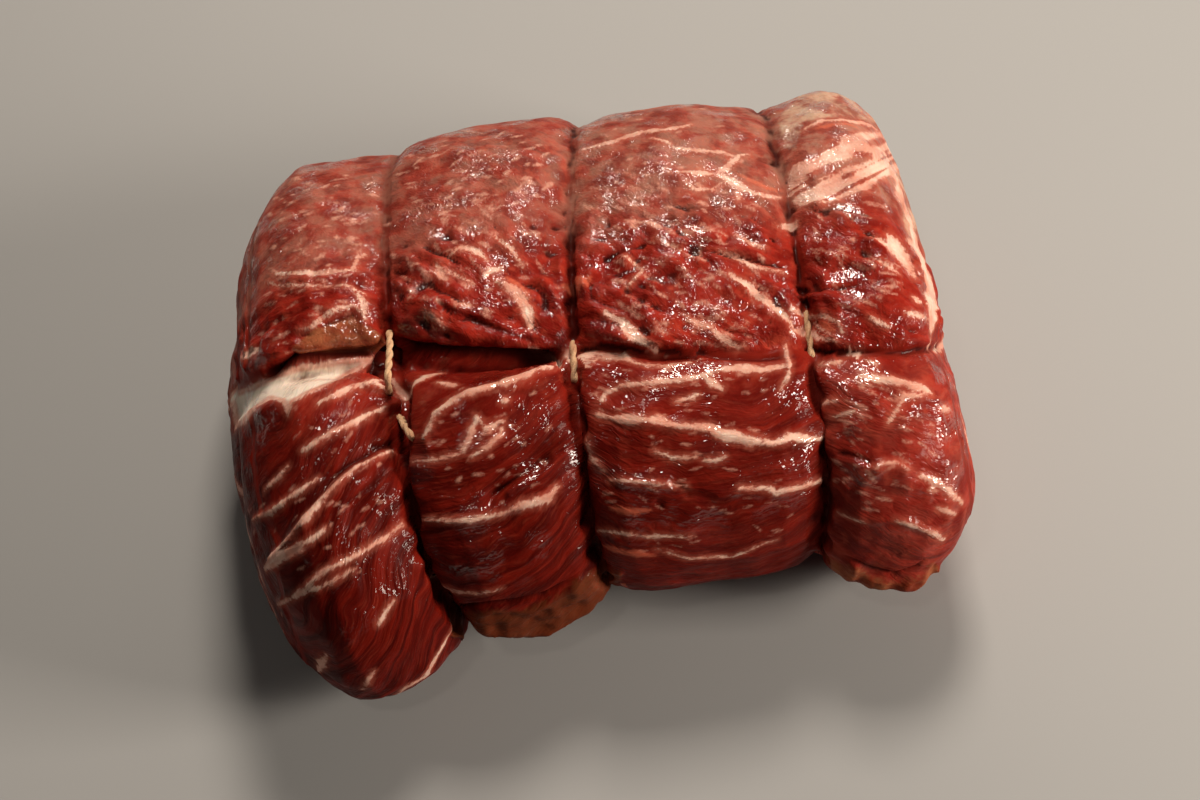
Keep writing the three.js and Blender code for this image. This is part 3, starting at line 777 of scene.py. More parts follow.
# Patches of fat, by their outline in the photograph, and their thickness in mm.
FAT_PATCHES = {
    "slab": (
        "228,394 250,386 275,373 300,367 340,360 385,357 352,374 322,389 306,396 294,404 "
        "288,416 283,403 270,400 258,408 246,424 234,430"
    ),
    "lobe4_wedge": "886,234 898,240 910,255 916,279 907,268 896,256 888,249",
    "lobe4_marbled": (
        "787,196 788,174 797,160 822,150 838,136 862,131 880,132 893,148 901,160 "
        "897,172 880,178 868,190 850,194 830,202 800,205"
    ),
}
FAT_THICKNESS = {"slab": 3.0, "lobe4_wedge": 1.4, "lobe4_marbled": 1.25}

# Islands of lean in the marbled patch.
MARBLED_ISLANDS = [
    "797,161 808,155 822,151 820,156 806,160",
    "824,144 830,138 843,133 838,142 830,148",
    "806,180 814,170 830,162 848,158 850,164 838,172 820,178 810,186",
    "848,160 856,150 872,152 874,158 862,163 850,166",
    "866,140 880,136 890,140 880,146 870,146",
    "842,174 856,171 852,177 844,178",
    "882,151 889,150 890,156 884,157",
    "892,160 898,158 897,166",
]

# Wet, smooth patches that shine whole.
GLOSS_PATCHES = {
    "lobe4_big": "824,280 832,265 850,262 867,268 868,282 850,280 836,290",
    "lobe4_low": "838,292 856,286 868,291 862,302 844,302",
    "lobe4_dot": "822,196 831,192 837,199 828,205",
    "lobe4_top": "828,208 842,201 860,208 866,220 846,218",
    "lobe2_left": "431,238 438,228 450,231 452,240 442,242",
    "lobe2_lip": "503,491 530,471 549,455 553,462 534,480 508,499",
    "lobe2_crown": "508,396 522,391 530,397 514,404",
    "lobe3_top": "672,222 700,226 712,238 684,236",
    "lobe3_left": "600,218 610,212 612,228 602,232",
}

# Brown membrane: the floor of the flap, the skirts at the foot. Pale film with painted sheen: the far side
# of lobe 4.
SKIN_PATCHES = {
    "flap_floor": "292,346 312,330 330,322 354,315 372,328 388,342 388,352 330,356 296,358",
}
FOOT_PATCHES = {
    "lobe2_foot": (
        "452,613 480,612 505,610 530,608 548,601 566,590 580,577 596,567 622,572 "
        "622,586 598,600 588,618 560,632 520,640 487,645 450,636"
    ),
    "lobe4_foot": (
        "815,556 832,558 852,567 874,576 900,580 922,572 934,562 950,572 950,595 "
        "905,602 870,596 840,582 812,566"
    ),
}
FILM_AND_SHEEN_PATCHES = {
    "lobe4_cap": "776,118 800,94 830,90 862,100 890,130 868,120 830,116 804,122 796,150 786,150",
    "lobe4_side": "884,124 902,140 916,190 922,240 908,240 898,190",
}

for half_width, run in STREAKS.values():
    streak(on_photo(places(run)), half_width)
for half_width, run in AMBER.values():
    streak(on_photo(places(run)), half_width, 0.2, 0.3, "amber")
for *shape, run in FOLDS.values():
    fold(on_photo(places(run)), *shape)
for *shape, run in CUTS.values():
    cut(on_photo(places(run)), *shape)
for *shape, run in CREASE_CUTS.values():
    cut(on_photo(places(run)), *shape)
for name, outline in FAT_PATCHES.items():
    grow("fat", np.minimum(inside_outline(outline), FAT_THICKNESS[name]))
for outline in MARBLED_ISLANDS:
    fields["fat"] = np.minimum(fields["fat"], -inside_outline(outline))
for outline in SKIN_PATCHES.values():
    grow("skin", inside_outline(outline))

# Small pale flecks: centre, reach, how many, slant in degrees, longest half length in pixels, and
# widest half width in mm. The widest lie on the far side of the three left lobes.
FLECK_FIELDS = [
    ((320, 215), (75, 45), 60, -12, 5, 1.0),
    ((300, 300), (55, 60), 36, -10, 6, 0.8),
    ((480, 175), (90, 45), 80, -14, 6, 1.0),
    ((470, 260), (80, 60), 70, 35, 7, 0.8),
    ((670, 200), (90, 35), 70, 20, 7, 0.8),
    ((670, 140), (90, 40), 16, -8, 5, 1.0),
    ((690, 290), (90, 60), 100, 30, 8, 0.75),
    ((700, 510), (100, 50), 34, -6, 7, 0.3),
    ((860, 250), (50, 60), 44, 32, 9, 0.75),
    ((690, 400), (100, 60), 56, -6, 6, 0.45),
    ((490, 440), (65, 65), 46, -28, 6, 0.4),
    ((325, 490), (65, 100), 46, -38, 6, 0.4),
    ((880, 440), (55, 75), 60, 20, 8, 0.6),
]
FLECK_WIDTH = (0.3, 1.0)
draw = np.random.default_rng(SEED)
for (cx, cy), (rx, ry), count, slope, longest, widest in FLECK_FIELDS:
    for _ in range(count):
        turn, out = draw.uniform(0, 2 * math.pi), math.sqrt(draw.uniform())
        middle = (cx + rx * out * math.cos(turn), cy + ry * out * math.sin(turn))
        tilt = math.radians(slope + draw.normal(0, 16))
        half = draw.uniform(0.25, 1) * longest
        line = np.linspace(*slanting(middle, tilt, half), 3)
        speck(on_photo(line), widest * draw.uniform(*FLECK_WIDTH))


# The cut ends: a rim of fat round the edge, widest at the top of the right-hand end, and seams of fat
# between the muscles, as half width and (y, z) in mm.

END_REACH_MM = 100  # the ends begin to round off beyond this distance from the middle
END_SHOULDER_MM = 12
END_RISE_MM = 22
END_TILT = 0.8  # the rim's fat lies only where the surface faces the end more squarely than this
RIM_TURN = [0, 25, 50, 105, 120, 200, 360]
RIM_WIDTH = {-1: [1.2, 1.2, 1.4, 1.4, 1.2, 1.0, 1.2], 1: [6, 12, 20, 20, 12, 3, 6]}
RIM_THICKNESS = 1.2
RIM_WANDER_MM = 1.3
RIM_BINS = 72
END_SEAMS = {
    -1: [
        (2.2, "-12,72 -6,60 0,50 4,40"),
        (0.9, "4,40 14,32 30,28 46,32"),
        (0.7, "-66,44 -52,52 -36,50 -20,40 -8,22"),
        (0.5, "-74,26 -58,32 -44,28 -34,16"),
        (0.6, "22,62 34,52 50,50 62,42"),
        (0.45, "34,52 38,42 52,38"),
        (0.5, "20,16 36,12 54,16"),
    ],
    1: [
        (1.0, "-26,70 -16,56 -6,44 6,34"),
        (0.8, "6,34 22,24 42,22 58,28"),
        (0.7, "-72,36 -56,44 -40,40 -28,26 -14,16"),
        (0.45, "-56,44 -50,54 -38,60"),
        (0.7, "8,62 24,52 40,50 60,46"),
        (0.45, "24,52 32,40 46,36"),
        (0.5, "-6,44 10,48 20,46"),
        (0.5, "-60,18 -44,14 -30,10"),
    ],
}
END_FLECKS = 46
LEVEL_FLECK_WIDTH = (0.35, 0.9)
WANDER_MM = 1.6
WANDER_SOFT = 15  # points over which a corner is rounded off


def wandering(run, count=60):
    """A run of corners as an even line with rounded corners and a gentle wander."""
    at = np.linspace(0, path_length(run)[-1], count)
    padded = np.pad(evenly(run, count), ((WANDER_SOFT // 2,) * 2, (0, 0)), mode="edge")
    mean = np.ones(WANDER_SOFT) / WANDER_SOFT
    line = np.stack([np.convolve(column, mean, mode="valid") for column in padded.T], axis=1)
    phase = draw.uniform(0, 2 * math.pi, (2, 2))
    waves = np.sin(at[:, None] / 5.5 + phase[0]) + 0.6 * np.sin(at[:, None] / 2.4 + phase[1])
    return line + 0.5 * WANDER_MM * waves


from_axis = np.hypot(y_mm, z_mm - AXIS_HEIGHT_MM)
for side, widths in RIM_WIDTH.items():
    here = side * x_mm > END_REACH_MM - END_SHOULDER_MM
    shoulder = here & (side * x_mm < END_REACH_MM)
    outermost = np.zeros(RIM_BINS)
    np.maximum.at(outermost, (angles[shoulder] * RIM_BINS // 360).astype(int), from_axis[shoulder])
    at_edge = np.interp(angles, (np.arange(RIM_BINS) + 0.5) * 360 / RIM_BINS, outermost, period=360)
    rim = np.interp(angles, RIM_TURN, widths)
    inside = np.minimum(rim - (at_edge - from_axis), END_RISE_MM * (side * soft_normals[:, 0] - END_TILT))
    inside = np.clip(inside + RIM_WANDER_MM * swell, FIELD_FLOOR, RIM_THICKNESS)
    grow("fat", np.where(here, inside, FIELD_FLOOR))
    for half_width, run in END_SEAMS[side]:
        streak(on_side(wandering(places(run)), (-side, 0, 0)), half_width, 0.2, 0.25)
    for _ in range(END_FLECKS):
        middle = (draw.uniform(-75, 65), draw.uniform(8, 66))
        half = draw.uniform(0.6, 2.4)
        ends = slanting(middle, draw.uniform(0, math.pi), half)
        speck(on_side(np.linspace(*ends, 5), (-side, 0, 0)), draw.uniform(*LEVEL_FLECK_WIDTH))

# The back, which the photograph doesn't show: thin streaks and flecks like those of the far shoulders.

BACK_STREAKS = 26
BACK_FLECKS = 150
for number in range(BACK_STREAKS + BACK_FLECKS):
    middle = (draw.uniform(-100, 100), draw.uniform(8, 62))
    tilt = math.radians(draw.normal(12, 22))
    if number < BACK_STREAKS:
        line = wandering(slanting(middle, tilt, draw.uniform(6, 17)), 40)
        streak(on_side(line, (0, -1, 0)), draw.uniform(0.3, 0.8), 0.2, 0.4)
    else:
        ends = slanting(middle, tilt, draw.uniform(0.6, 2.2))
        speck(on_side(np.linspace(*ends, 5), (0, -1, 0)), draw.uniform(*LEVEL_FLECK_WIDTH))


# Muscle grain: a slant for each lobe, above and below the crease, in degrees from +X.

GRAIN_UPPER = [-8, 40, 34, 30]
GRAIN_LOWER = [-50, -22, 0, 22]
GRAIN_SAG = [0, 0.005, 0.005, 0.002]  # how much the lower fibres sag between two turns, per mm
UPPER_SAG = 0.001
LOBE_MIDDLE = [-80, -28, 34, 90]
CAP_GRAIN = (3.2, 0.6)  # the ends are cut across the grain, so nothing runs one way there
LAYER_STEPS = (370.0, 610.0, 1130.0)  # lobes, folds and ends lie apart in the noise
FAR = 400.0  # no two layers share a cell of noise
SEAM_ROUNDS = 2

on_cap = cap > 0.5
slant = np.radians(np.where(lower, np.take(GRAIN_LOWER, lobe), np.take(GRAIN_UPPER, lobe)))
sag = np.where(lower, np.take(GRAIN_SAG, lobe), UPPER_SAG)
from_middle = x_mm - np.take(LOBE_MIDDLE, lobe)
way_round = around + sag * from_middle**2
along = np.where(on_cap, CAP_GRAIN[0] * z_mm, np.cos(slant) * x_mm + np.sin(slant) * way_round)
across = np.where(on_cap, CAP_GRAIN[1] * y_mm, np.cos(slant) * way_round - np.sin(slant) * x_mm)
layer = LAYER_STEPS[0] * lobe + LAYER_STEPS[1] * lower + LAYER_STEPS[2] * on_cap
wander = 2.5 * lattice_noise(base, 14, 0) + 0.9 * lattice_noise(base, 5, 7)
grain = np.stack([along, across + wander, layer], axis=1)

# Where two layers meet, the fibres and the colour streaks are left out.
meets = layer[edges[:, 0]] != layer[edges[:, 1]]
seam = np.zeros(len(base))
seam[edges[meets].ravel()] = 1
for _ in range(SEAM_ROUNDS):
    seam = np.maximum(seam, neighbour_mean(seam, edges))
seam = np.maximum(seam >= 1, smooth(0, 0.5, seam))


def billow(cell, seed, power=0.8):
    """Rounded bundles with narrow creases between them, from 0 to 1."""
    return np.abs(lattice_noise(grain, (*cell, FAR), seed)) ** power


# Relief. The upper folds are torn and lumpy; the lower ones are smooth, with long soft bundles. Each
# height is in mm, and each pair of sizes is a cell of noise in mm, along the grain and across it.

torn = smooth(45, 75, angles) * (1 - lower)
patchy = smooth(-0.35, 0.35, lattice_noise(base, 11, 8))
bundles_below = 0.75 * billow((34, 6.5), 1, 1.2) + 0.22 * billow((18, 2.6), 16)
bundles_above = (0.5 + 0.9 * torn) * billow((10, 5.0), 1)
bundles = np.where(lower, bundles_below, bundles_above)
strand_height = np.where(lower, 0.14, 0.05 + 0.3 * torn * patchy)
strands = strand_height * lattice_noise(grain, (9, 2.2, FAR), 2)
lumps = lattice_noise(base, 9, 4)
knobs = lattice_noise(base, 3.6, 9)
flakes = billow((7, 3.0), 3, 1)
pucker = lattice_noise(np.stack([from_middle, around, layer], axis=1), (11, 3.0, FAR), 5)
BUNDLE_MEAN_MM = 0.25
RELIEF_SINK_MM = 0.5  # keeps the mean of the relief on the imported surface
TORN_MM = 1.1
LUMP_MM = 0.5
PUCKER_MM = 0.9
GROOVE_REACH_MM = 4
PUCKER_REACH_MM = 4.5

# Lean threads run through the marbled patch: slanting in the photograph, and drawn out along it.
THREAD_SLANT = (1.7, 0.45)
THREAD_STRETCH = 5.5
THREAD_CELL = (16, 16, FAR)
THREAD_DEPTH_MM = 2.2
px, py = pixels.T
threads_at = np.stack(
    [px + THREAD_SLANT[0] * py, THREAD_STRETCH * (py + THREAD_SLANT[1] * px), layer], axis=1
)
threads = smooth(0.15, 0.65, lattice_noise(threads_at, THREAD_CELL, 14))
marbled = share_of(FAT_PATCHES["lobe4_marbled"], -1, 1.5)
fat = fields["fat"] = fields["fat"] - marbled * THREAD_DEPTH_MM * threads

gloss = np.max([share_of(outline, -0.5, 0.8) for outline in GLOSS_PATCHES.values()], axis=0)
calm = (1 - 0.7 * smooth(0, 0.6, fat) - 0.2 * smooth(0.6, 2.0, fat)) * (1 - 0.7 * gloss)
height += calm * ((bundles + strands) * (1 - seam) + BUNDLE_MEAN_MM * seam) - RELIEF_SINK_MM
height += calm * torn * patchy * TORN_MM * (knobs + flakes * (1 - seam))
height += LUMP_MM * (lumps + knobs * np.exp(-groove / GROOVE_REACH_MM))
height += PUCKER_MM * pucker * (1 - seam) * np.exp(-groove / PUCKER_REACH_MM) * (1 - cap)

FACET_LIMIT_MM = 1.2


def facet(outline):
    """Tilts a patch so that it shines towards the camera of the photograph."""
    share = share_of(outline, -0.6, 0.9)
    middle = np.average(base, axis=0, weights=share)
    flat = unit(np.average(soft_normals, axis=0, weights=share))
    halfway = unit(np.array(LIGHTS["key"][0]) / MM - middle) + unit(EYE / MM - middle)
    slope = halfway / (halfway @ flat) - flat
    height[:] -= share * np.clip((base - middle) @ slope, -FACET_LIMIT_MM, FACET_LIMIT_MM)


for outline in GLOSS_PATCHES.values():
    facet(outline)


# Grooves of the twine: soft valleys at the top, narrow and deeper to the front, their floors painted dark
# as painted shade, darker to the front.
TURN = [0, 60, 100, 125, 180, 230, 300, 360]
GROOVE_DEPTH_MM = [1.6, 1.6, 1.9, 2.4, 2.8, 2.0, 1.6, 1.6]
GROOVE_WIDTH_MM = [2.4, 2.4, 2.2, 1.7, 1.6, 1.8, 2.4, 2.4]
GROOVE_GLOOM = [0.5, 0.5, 0.6, 0.9, 0.9, 0.7, 0.5, 0.5]
GROOVE_WANDER_MM = 1.3
groove_line = groove_side + GROOVE_WANDER_MM * lattice_noise(base, 6, 6)
groove_profile = np.exp(-((groove_line / np.interp(angles, TURN, GROOVE_WIDTH_MM)) ** 2))
groove_profile *= (1 - cap) * (1 - 0.8 * bare_here)
height -= np.interp(angles, TURN, GROOVE_DEPTH_MM) * groove_profile
gloom_here = np.interp(angles, TURN, GROOVE_GLOOM) * (0.75 + 0.25 * lattice_noise(base, 7, 12))
# painted shade along the groove floors
dark = np.maximum(dark, groove_profile * gloom_here)

# Blood gathers in the hollows and darkens them.
# Painted shade: the hollows are painted darker, as the shade that gathers in them.
HOLLOW_MM = (0.08, 0.75)
HOLLOW_GLOOM = [0.5, 0.95, 0.95, 0.95]  # in the upper fold of each lobe
LOWER_HOLLOW_GLOOM = 0.5
FAT_GLOOM = 0.2
level = height.copy()
for _ in range(2 * SMOOTH_ROUNDS):
    level = neighbour_mean(level, edges)
hollow = smooth(*HOLLOW_MM, level - height)
hollow *= np.where(lower, LOWER_HOLLOW_GLOOM, np.take(HOLLOW_GLOOM, lobe))
dark = np.maximum(dark, np.where(fat > 0, FAT_GLOOM, 1) * hollow)

# Ragged skirt of membrane round the foot, where the meat spreads out flat.
SKIRT_MM = 1.0
SKIRT_RAG_MM = 1.7
SKIRT_KNOB_MM = 0.9
foot = np.max([inside_outline(outline) for outline in FOOT_PATCHES.values()], axis=0)
rag = lattice_noise(np.stack([x_mm, layer, 0 * x_mm], axis=1), (4, FAR, 1), 10)
grow("skin", foot + 0.5 * knobs)
points = base + soft_normals * height[:, None]
points[:, 1] -= smooth(-0.6, 0.8, foot) * (SKIRT_MM + SKIRT_RAG_MM * rag + SKIRT_KNOB_MM * knobs)

# Lumps of the two folds reach over the slots at the front and narrow them here and there.
SLOT_TURN = ((110, 135), (250, 225))
SLOT_REACH_MM = 1.9
SLOT_FROM_MM = 2.0
SLOT_WIDTH_MM = 2.2
LEAST_HEIGHT_MM = 0.05
over_slot = np.exp(-(((groove - SLOT_FROM_MM) / SLOT_WIDTH_MM) ** 2)) * window(angles, *SLOT_TURN)
slot_lump = SLOT_REACH_MM * np.clip(0.6 + 0.9 * lattice_noise(base, 5, 13), 0, 1.4)
points[:, 0] -= np.sign(groove_side) * slot_lump * over_slot * (1 - bare_here)
points[:, 2] = np.maximum(points[:, 2], LEAST_HEIGHT_MM)

roast = new_object("roast", points * MM, quads.tolist())
shade_smooth(roast)


# What the material reads at each vertex.

UPPER_SHORTER = 2.2  # the colour streaks of the torn upper folds are this much shorter
FRONT_SHADE_LOBES = [1.0, 0.95, 0.75, 0.0]  # painted shade: the lower front is painted darker, most to the left
FRONT_SHADE_TURN = ((98, 150), (300, 240))
# Pale film with painted sheen over the far shoulders, stronger on the right-hand lobes, where the light
# falls brighter.
FILM_AND_SHEEN_LOBES = [0.27, 0.26, 0.36, 0.44]
FILM_AND_SHEEN_TURN = ((-45, -5), (80, 55))
FRONT_PAINTED_LIGHT = 0.05  # painted light: a trace of it on the front of lobe 4, which is painted paler
DRY_FRONT = 0.6  # the front of lobe 1 is less wet

wet = np.maximum(smooth(0.18, 0.72, soft_normals[:, 2]), gloss)
wet *= 1 - np.maximum(seam, 0.7 * groove_profile)
wet *= 1 - DRY_FRONT * (lobe == 0) * lower * smooth(118, 135, angles)
film = np.take(FILM_AND_SHEEN_LOBES, lobe) * window(from_back, *FILM_AND_SHEEN_TURN)
film = np.max([film, *map(share_of, FILM_AND_SHEEN_PATCHES.values())], axis=0)
film = np.maximum(film, FRONT_PAINTED_LIGHT * (lobe == 3) * lower * smooth(105, 150, angles))
fields.update(
    dark=dark,
    wet=wet,
    still=(1 - 0.35 * gloss) * (1 - seam),
    gloss=gloss,
    plain=seam,
    # painted shade on the lower front
    deep=np.take(FRONT_SHADE_LOBES, lobe) * window(angles, *FRONT_SHADE_TURN) * lower,
    film=film,
)
for name, values in fields.items():
    attribute = roast.data.attributes.new(name, "FLOAT", "POINT")
    attribute.data.foreach_set("value", np.clip(values, FIELD_FLOOR, FIELD_CEILING).astype(np.float32))
grain[:, 0] *= np.where(lower, 1, UPPER_SHORTER)
attribute = roast.data.attributes.new("grain", "FLOAT_VECTOR", "POINT")
attribute.data.foreach_set("vector", grain.astype(np.float32).ravel())


# Materials. Colours are linear red, green and blue.

class Nodes:
    """Short ways to add shader nodes to one material."""

    def __init__(self, name):
        self.material = bpy.data.materials.new(name)
        self.material.use_nodes = True
        self.tree = self.material.node_tree
        self.tree.nodes.clear()

    def add(self, kind, **settings):
        """A new node of a kind, with its settings."""
        node = self.tree.nodes.new(kind)
        for key, value in settings.items():
            setattr(node, key, value)
        return node

    def wire(self, node, inputs):
        """Links or sets inputs of a node, given by name or by number."""
        for key, source in inputs.items():
            socket = node.inputs[key]
            if isinstance(source, bpy.types.NodeSocket):
                self.tree.links.new(source, socket)
            else:
                socket.default_value = (*source, 1) if socket.type == "RGBA" else source
        return node.outputs

    def attribute(self, name, output="Fac"):
        """What the mesh holds under a name."""
        return self.add("ShaderNodeAttribute", attribute_name=name).outputs[output]

    def place(self):
        """The place on the object, in metres."""
        return self.add("ShaderNodeTexCoord").outputs["Object"]

    def math(self, operation, *values):
        """A sum or the like."""
        return self.wire(self.add("ShaderNodeMath", operation=operation), dict(enumerate(values)))[0]

    def times(self, a, b):
        return self.math("MULTIPLY", a, b)

    def span(self, *values):
        """A value taken from one span, softly, to another or to 0 and 1."""
        node = self.add("ShaderNodeMapRange", interpolation_type="SMOOTHSTEP")
        return self.wire(node, dict(enumerate(values)))[0]

    def stretch(self, vector, scale):
        node = self.add("ShaderNodeVectorMath", operation="MULTIPLY")
        return self.wire(node, {0: vector, 1: scale})[0]

    def noise(self, vector, scale, detail, roughness=0.5, distortion=0.0):
        node = self.add("ShaderNodeTexNoise")
        inputs = {"Vector": vector, "Scale": scale, "Detail": detail, "Roughness": roughness}
        return self.wire(node, {**inputs, "Distortion": distortion})["Fac"]

    def grained(self, along, across, *settings):
        """Noise drawn out along the meat's grain, in humps to the millimetre along it and across it."""
        scale = (along, across, 1.0)
        return self.noise(self.stretch(self.attribute("grain", "Vector"), scale), 1.0, *settings)

    def mix(self, share, a, b):
        """Colour a, with a share of b."""
        node = self.add("ShaderNodeMix", data_type="RGBA")
        return self.wire(node, {0: share, 6: a, 7: b})[2]

    def layered(self, under, *layers):
        """A colour with others laid over it in turn, each with its share."""
        for share, tint in layers:
            under = self.mix(share, under, tint)
        return under

    def bump(self, height, distance, strength=1.0, **under):
        """Relief from a height of 0 to 1, distance metres high, over an earlier one where that is given."""
        inputs = {"Strength": strength, "Distance": distance, "Height": height, **under}
        return self.wire(self.add("ShaderNodeBump"), inputs)["Normal"]

    def finish(self, **inputs):
        """The material, once its shader has these inputs."""
        shader = self.add("ShaderNodeBsdfPrincipled")
        looks = self.wire(shader, {name.replace("_", " "): source for name, source in inputs.items()})
        self.wire(self.add("ShaderNodeOutputMaterial"), {"Surface": looks[0]})
        return self.material


# Pairs of colours are mixed by noise: lean, the darker lean of the lower front (painted shade), fat,
# membrane.
LEAN = ((0.17, 0.008, 0.005), (0.33, 0.022, 0.012))
SHADED_LEAN = ((0.06, 0.002, 0.001), (0.18, 0.009, 0.004))
TALLOW = ((0.66, 0.29, 0.21), (0.82, 0.51, 0.40))
MEMBRANE = ((0.36, 0.12, 0.05), (0.20, 0.03, 0.012))
# Painted shade: the membrane of the lower front, darker.
SHADED_MEMBRANE = (0.13, 0.03, 0.010)
THICK_FAT = (0.97, 0.80, 0.66)
THIN_FAT = (0.52, 0.13, 0.08)
PALE_FLECK = (0.70, 0.33, 0.24)
PALE_FIBRE = (0.50, 0.09, 0.05)
PALE_HAIR = (0.60, 0.15, 0.09)
# Painted shade: the fibres of the darker lean of the lower front.
SHADED_HAIR = (0.50, 0.08, 0.04)
BRIGHT_PATCH = (0.43, 0.055, 0.028)
DARK_SPOT = (0.16, 0.007, 0.004)
DARK_PATCH = (0.24, 0.010, 0.005)
SEAM_RED = (0.20, 0.012, 0.006)
# Pale film with painted sheen.
FILM_AND_SHEEN = (0.56, 0.33, 0.23)
ORANGE = (0.68, 0.15, 0.08)
# Painted shade: laid where the dark field is high, in cuts, grooves and hollows.
PAINTED_SHADE = (0.035, 0.003, 0.002)
EDGE_WAVE_MM = 1.4  # how far the edges of fat and membrane wander


def meat_colour(n, hairs, texture):
    """Lean, with painted shade on its lower front, then film with painted sheen, flecks, fat, amber seams,
    membrane, and painted shade in cuts, grooves and hollows laid over it.
    """
    place = n.place()
    mottled = n.noise(place, 120, 5, 0.6)
    deep = n.attribute("deep")
    wave = n.math("MULTIPLY_ADD", n.grained(0.5, 0.9, 4, 0.65), 2 * EDGE_WAVE_MM, -EDGE_WAVE_MM)
    edge = n.times(wave, texture)

    def ragged(name, share=1.0):
        """A field whose edge wanders."""
        return n.math("MULTIPLY_ADD", edge, share, n.attribute(name))

    fat_edge = ragged("fat")
    deep_lean = n.mix(n.span(n.grained(0.025, 0.36, 3, 0.55), 0.34, 0.7), *SHADED_LEAN)
    deep_lean = n.mix(n.span(hairs, 0.5, 0.75, 0, 0.14), deep_lean, SHADED_HAIR)
    tallow = n.mix(n.span(mottled, 0.6, 0.35), *TALLOW)
    tallow = n.mix(n.span(n.attribute("fat"), 1.0, 2.2), tallow, THICK_FAT)
    # membrane, with painted shade on the lower front
    brown = n.mix(deep, n.mix(n.span(mottled, 0.35, 0.65), *MEMBRANE), SHADED_MEMBRANE)
    return n.layered(
        n.mix(n.span(n.grained(0.05, 0.2, 2), 0.38, 0.62), *LEAN),
        (n.span(n.grained(0.14, 0.5, 3, 0.5, 0.3), 0.5, 0.75, 0, 0.3), PALE_FIBRE),
        (n.span(hairs, 0.5, 0.75, 0, 0.07), PALE_HAIR),
        (n.span(n.noise(place, 190, 4, 0.6, 0.4), 0.5, 0.68, 0, 0.5), BRIGHT_PATCH),
        (n.span(mottled, 0.5, 0.66, 0, 0.6), DARK_SPOT),
        (n.span(n.noise(place, 40, 2), 0.45, 0.65, 0, 0.4), DARK_PATCH),
        # painted shade on the lower front
        (deep, deep_lean),
        (n.attribute("plain"), SEAM_RED),
        # pale film with painted sheen
        (n.times(n.attribute("film"), n.span(mottled, 0.38, 0.6, 1.0, 0.25)), FILM_AND_SHEEN),
        (n.span(ragged("fleck", 0.75), -0.6, 0.8, 0, 0.75), PALE_FLECK),
        (n.span(fat_edge, -2.2, 0.2, 0, 0.4), THIN_FAT),
        (n.span(ragged("amber"), -0.8, 0.8, 0, 0.6), ORANGE),
        (n.span(fat_edge, -0.5, 0.5), tallow),
        (n.span(ragged("skin"), -0.5, 0.8, 0, 0.8), brown),
        # painted shade in cuts, grooves and hollows
        (n.span(n.attribute("dark"), 0.15, 0.95, 0, 0.9), PAINTED_SHADE),
    )


def wet_coat(n, ripples):
    """How wet the meat is from place to place, and the relief of the wet layer: ripples and beads."""
    clusters = n.noise(n.place(), 90, 2)
    beads = n.noise(n.place(), 480, 1)
    beaded = n.times(n.span(clusters, 0.4, 0.6, 0.4, 1.0), n.attribute("still"))
    spots = n.math("MAXIMUM", n.span(clusters, 0.48, 0.6, 0.05, 1.0), n.attribute("gloss"))
    weight = n.times(spots, n.span(n.attribute("wet"), 0, 1, 0.05, 1.0))
    relief = n.bump(n.times(ripples, beaded), 0.0006)
    return weight, n.bump(n.times(beads, beaded), 0.0007, Normal=relief)


def meat_material():
    """Raw beef under a broken wet coat."""
    n = Nodes("raw_beef")
    texture = n.math("SUBTRACT", 1.0, n.attribute("plain"))
    hairs = n.grained(0.18, 1.6, 2)
    ripples = n.grained(0.3, 0.9, 1, 0.5, 0.6)
    fibres = n.bump(n.times(hairs, texture), 0.0002, 0.4)
    coat_weight, coat_relief = wet_coat(n, ripples)
    return n.finish(
        Base_Color=meat_colour(n, hairs, texture),
        Roughness=n.span(n.noise(n.place(), 130, 3, 0.6), 0.35, 0.7, 0.35, 0.55),
        Normal=n.bump(n.times(ripples, texture), 0.0003, Normal=fibres),
        Coat_Weight=coat_weight,
        Coat_Roughness=0.06,
        Coat_IOR=1.6,
        Coat_Normal=coat_relief,
        Subsurface_Weight=0.12,
        Subsurface_Radius=(1.0, 0.2, 0.1),
        Subsurface_Scale=0.0018,
        Specular_IOR_Level=0.03,
    )


COTTON = ((0.52, 0.24, 0.11), (0.86, 0.58, 0.34))
TWINE_STAIN = (0.5, 0.12, 0.06)


def twine_material():
    """Cotton stained by the meat."""
    n = Nodes("cotton_twine")
    fibres = n.noise(n.place(), 1800, 4, 0.7)
    stain = n.span(n.noise(n.place(), 160, 2), 0.5, 0.75, 0, 0.4)
    return n.finish(
        Base_Color=n.layered(n.mix(fibres, *COTTON), (stain, TWINE_STAIN)),
        Roughness=0.7,
        Normal=n.bump(fibres, 0.0005, 0.7),
        Subsurface_Weight=0.1,
        Subsurface_Radius=(1.0, 0.6, 0.4),
        Subsurface_Scale=0.001,
    )


roast.data.materials.append(meat_material())
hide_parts("meat")
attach(roast, "root")


# Twine: two plies round each packed turn, sunk in the meat but for the stretches that show.

PLY_RADIUS_MM = 0.72
PLY_OFFSET_MM = 0.42
PLY_PITCH_MM = 9.0
ROPE_STEP_MM = 0.7
SINK_TURN = [0, 40, 80, 110, 180, 230, 300, 360]
SINK_MM = [0.4, 0.8, 1.8, 4.5, 5.5, 3.0, 0.6, 0.4]
BARE_LIFT_MM = 0.7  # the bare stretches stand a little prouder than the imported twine
STRAND_SHIFT_MM = 4.2  # the left strand leans to the left towards its lower end
STRAND_ROWS = ((335, 405), (450, 412))
DIVE_MM = 8.0  # past its bare stretch the left strand dives under a lump of meat
DIVE_ROWS = ((376, 394), (500, 450))


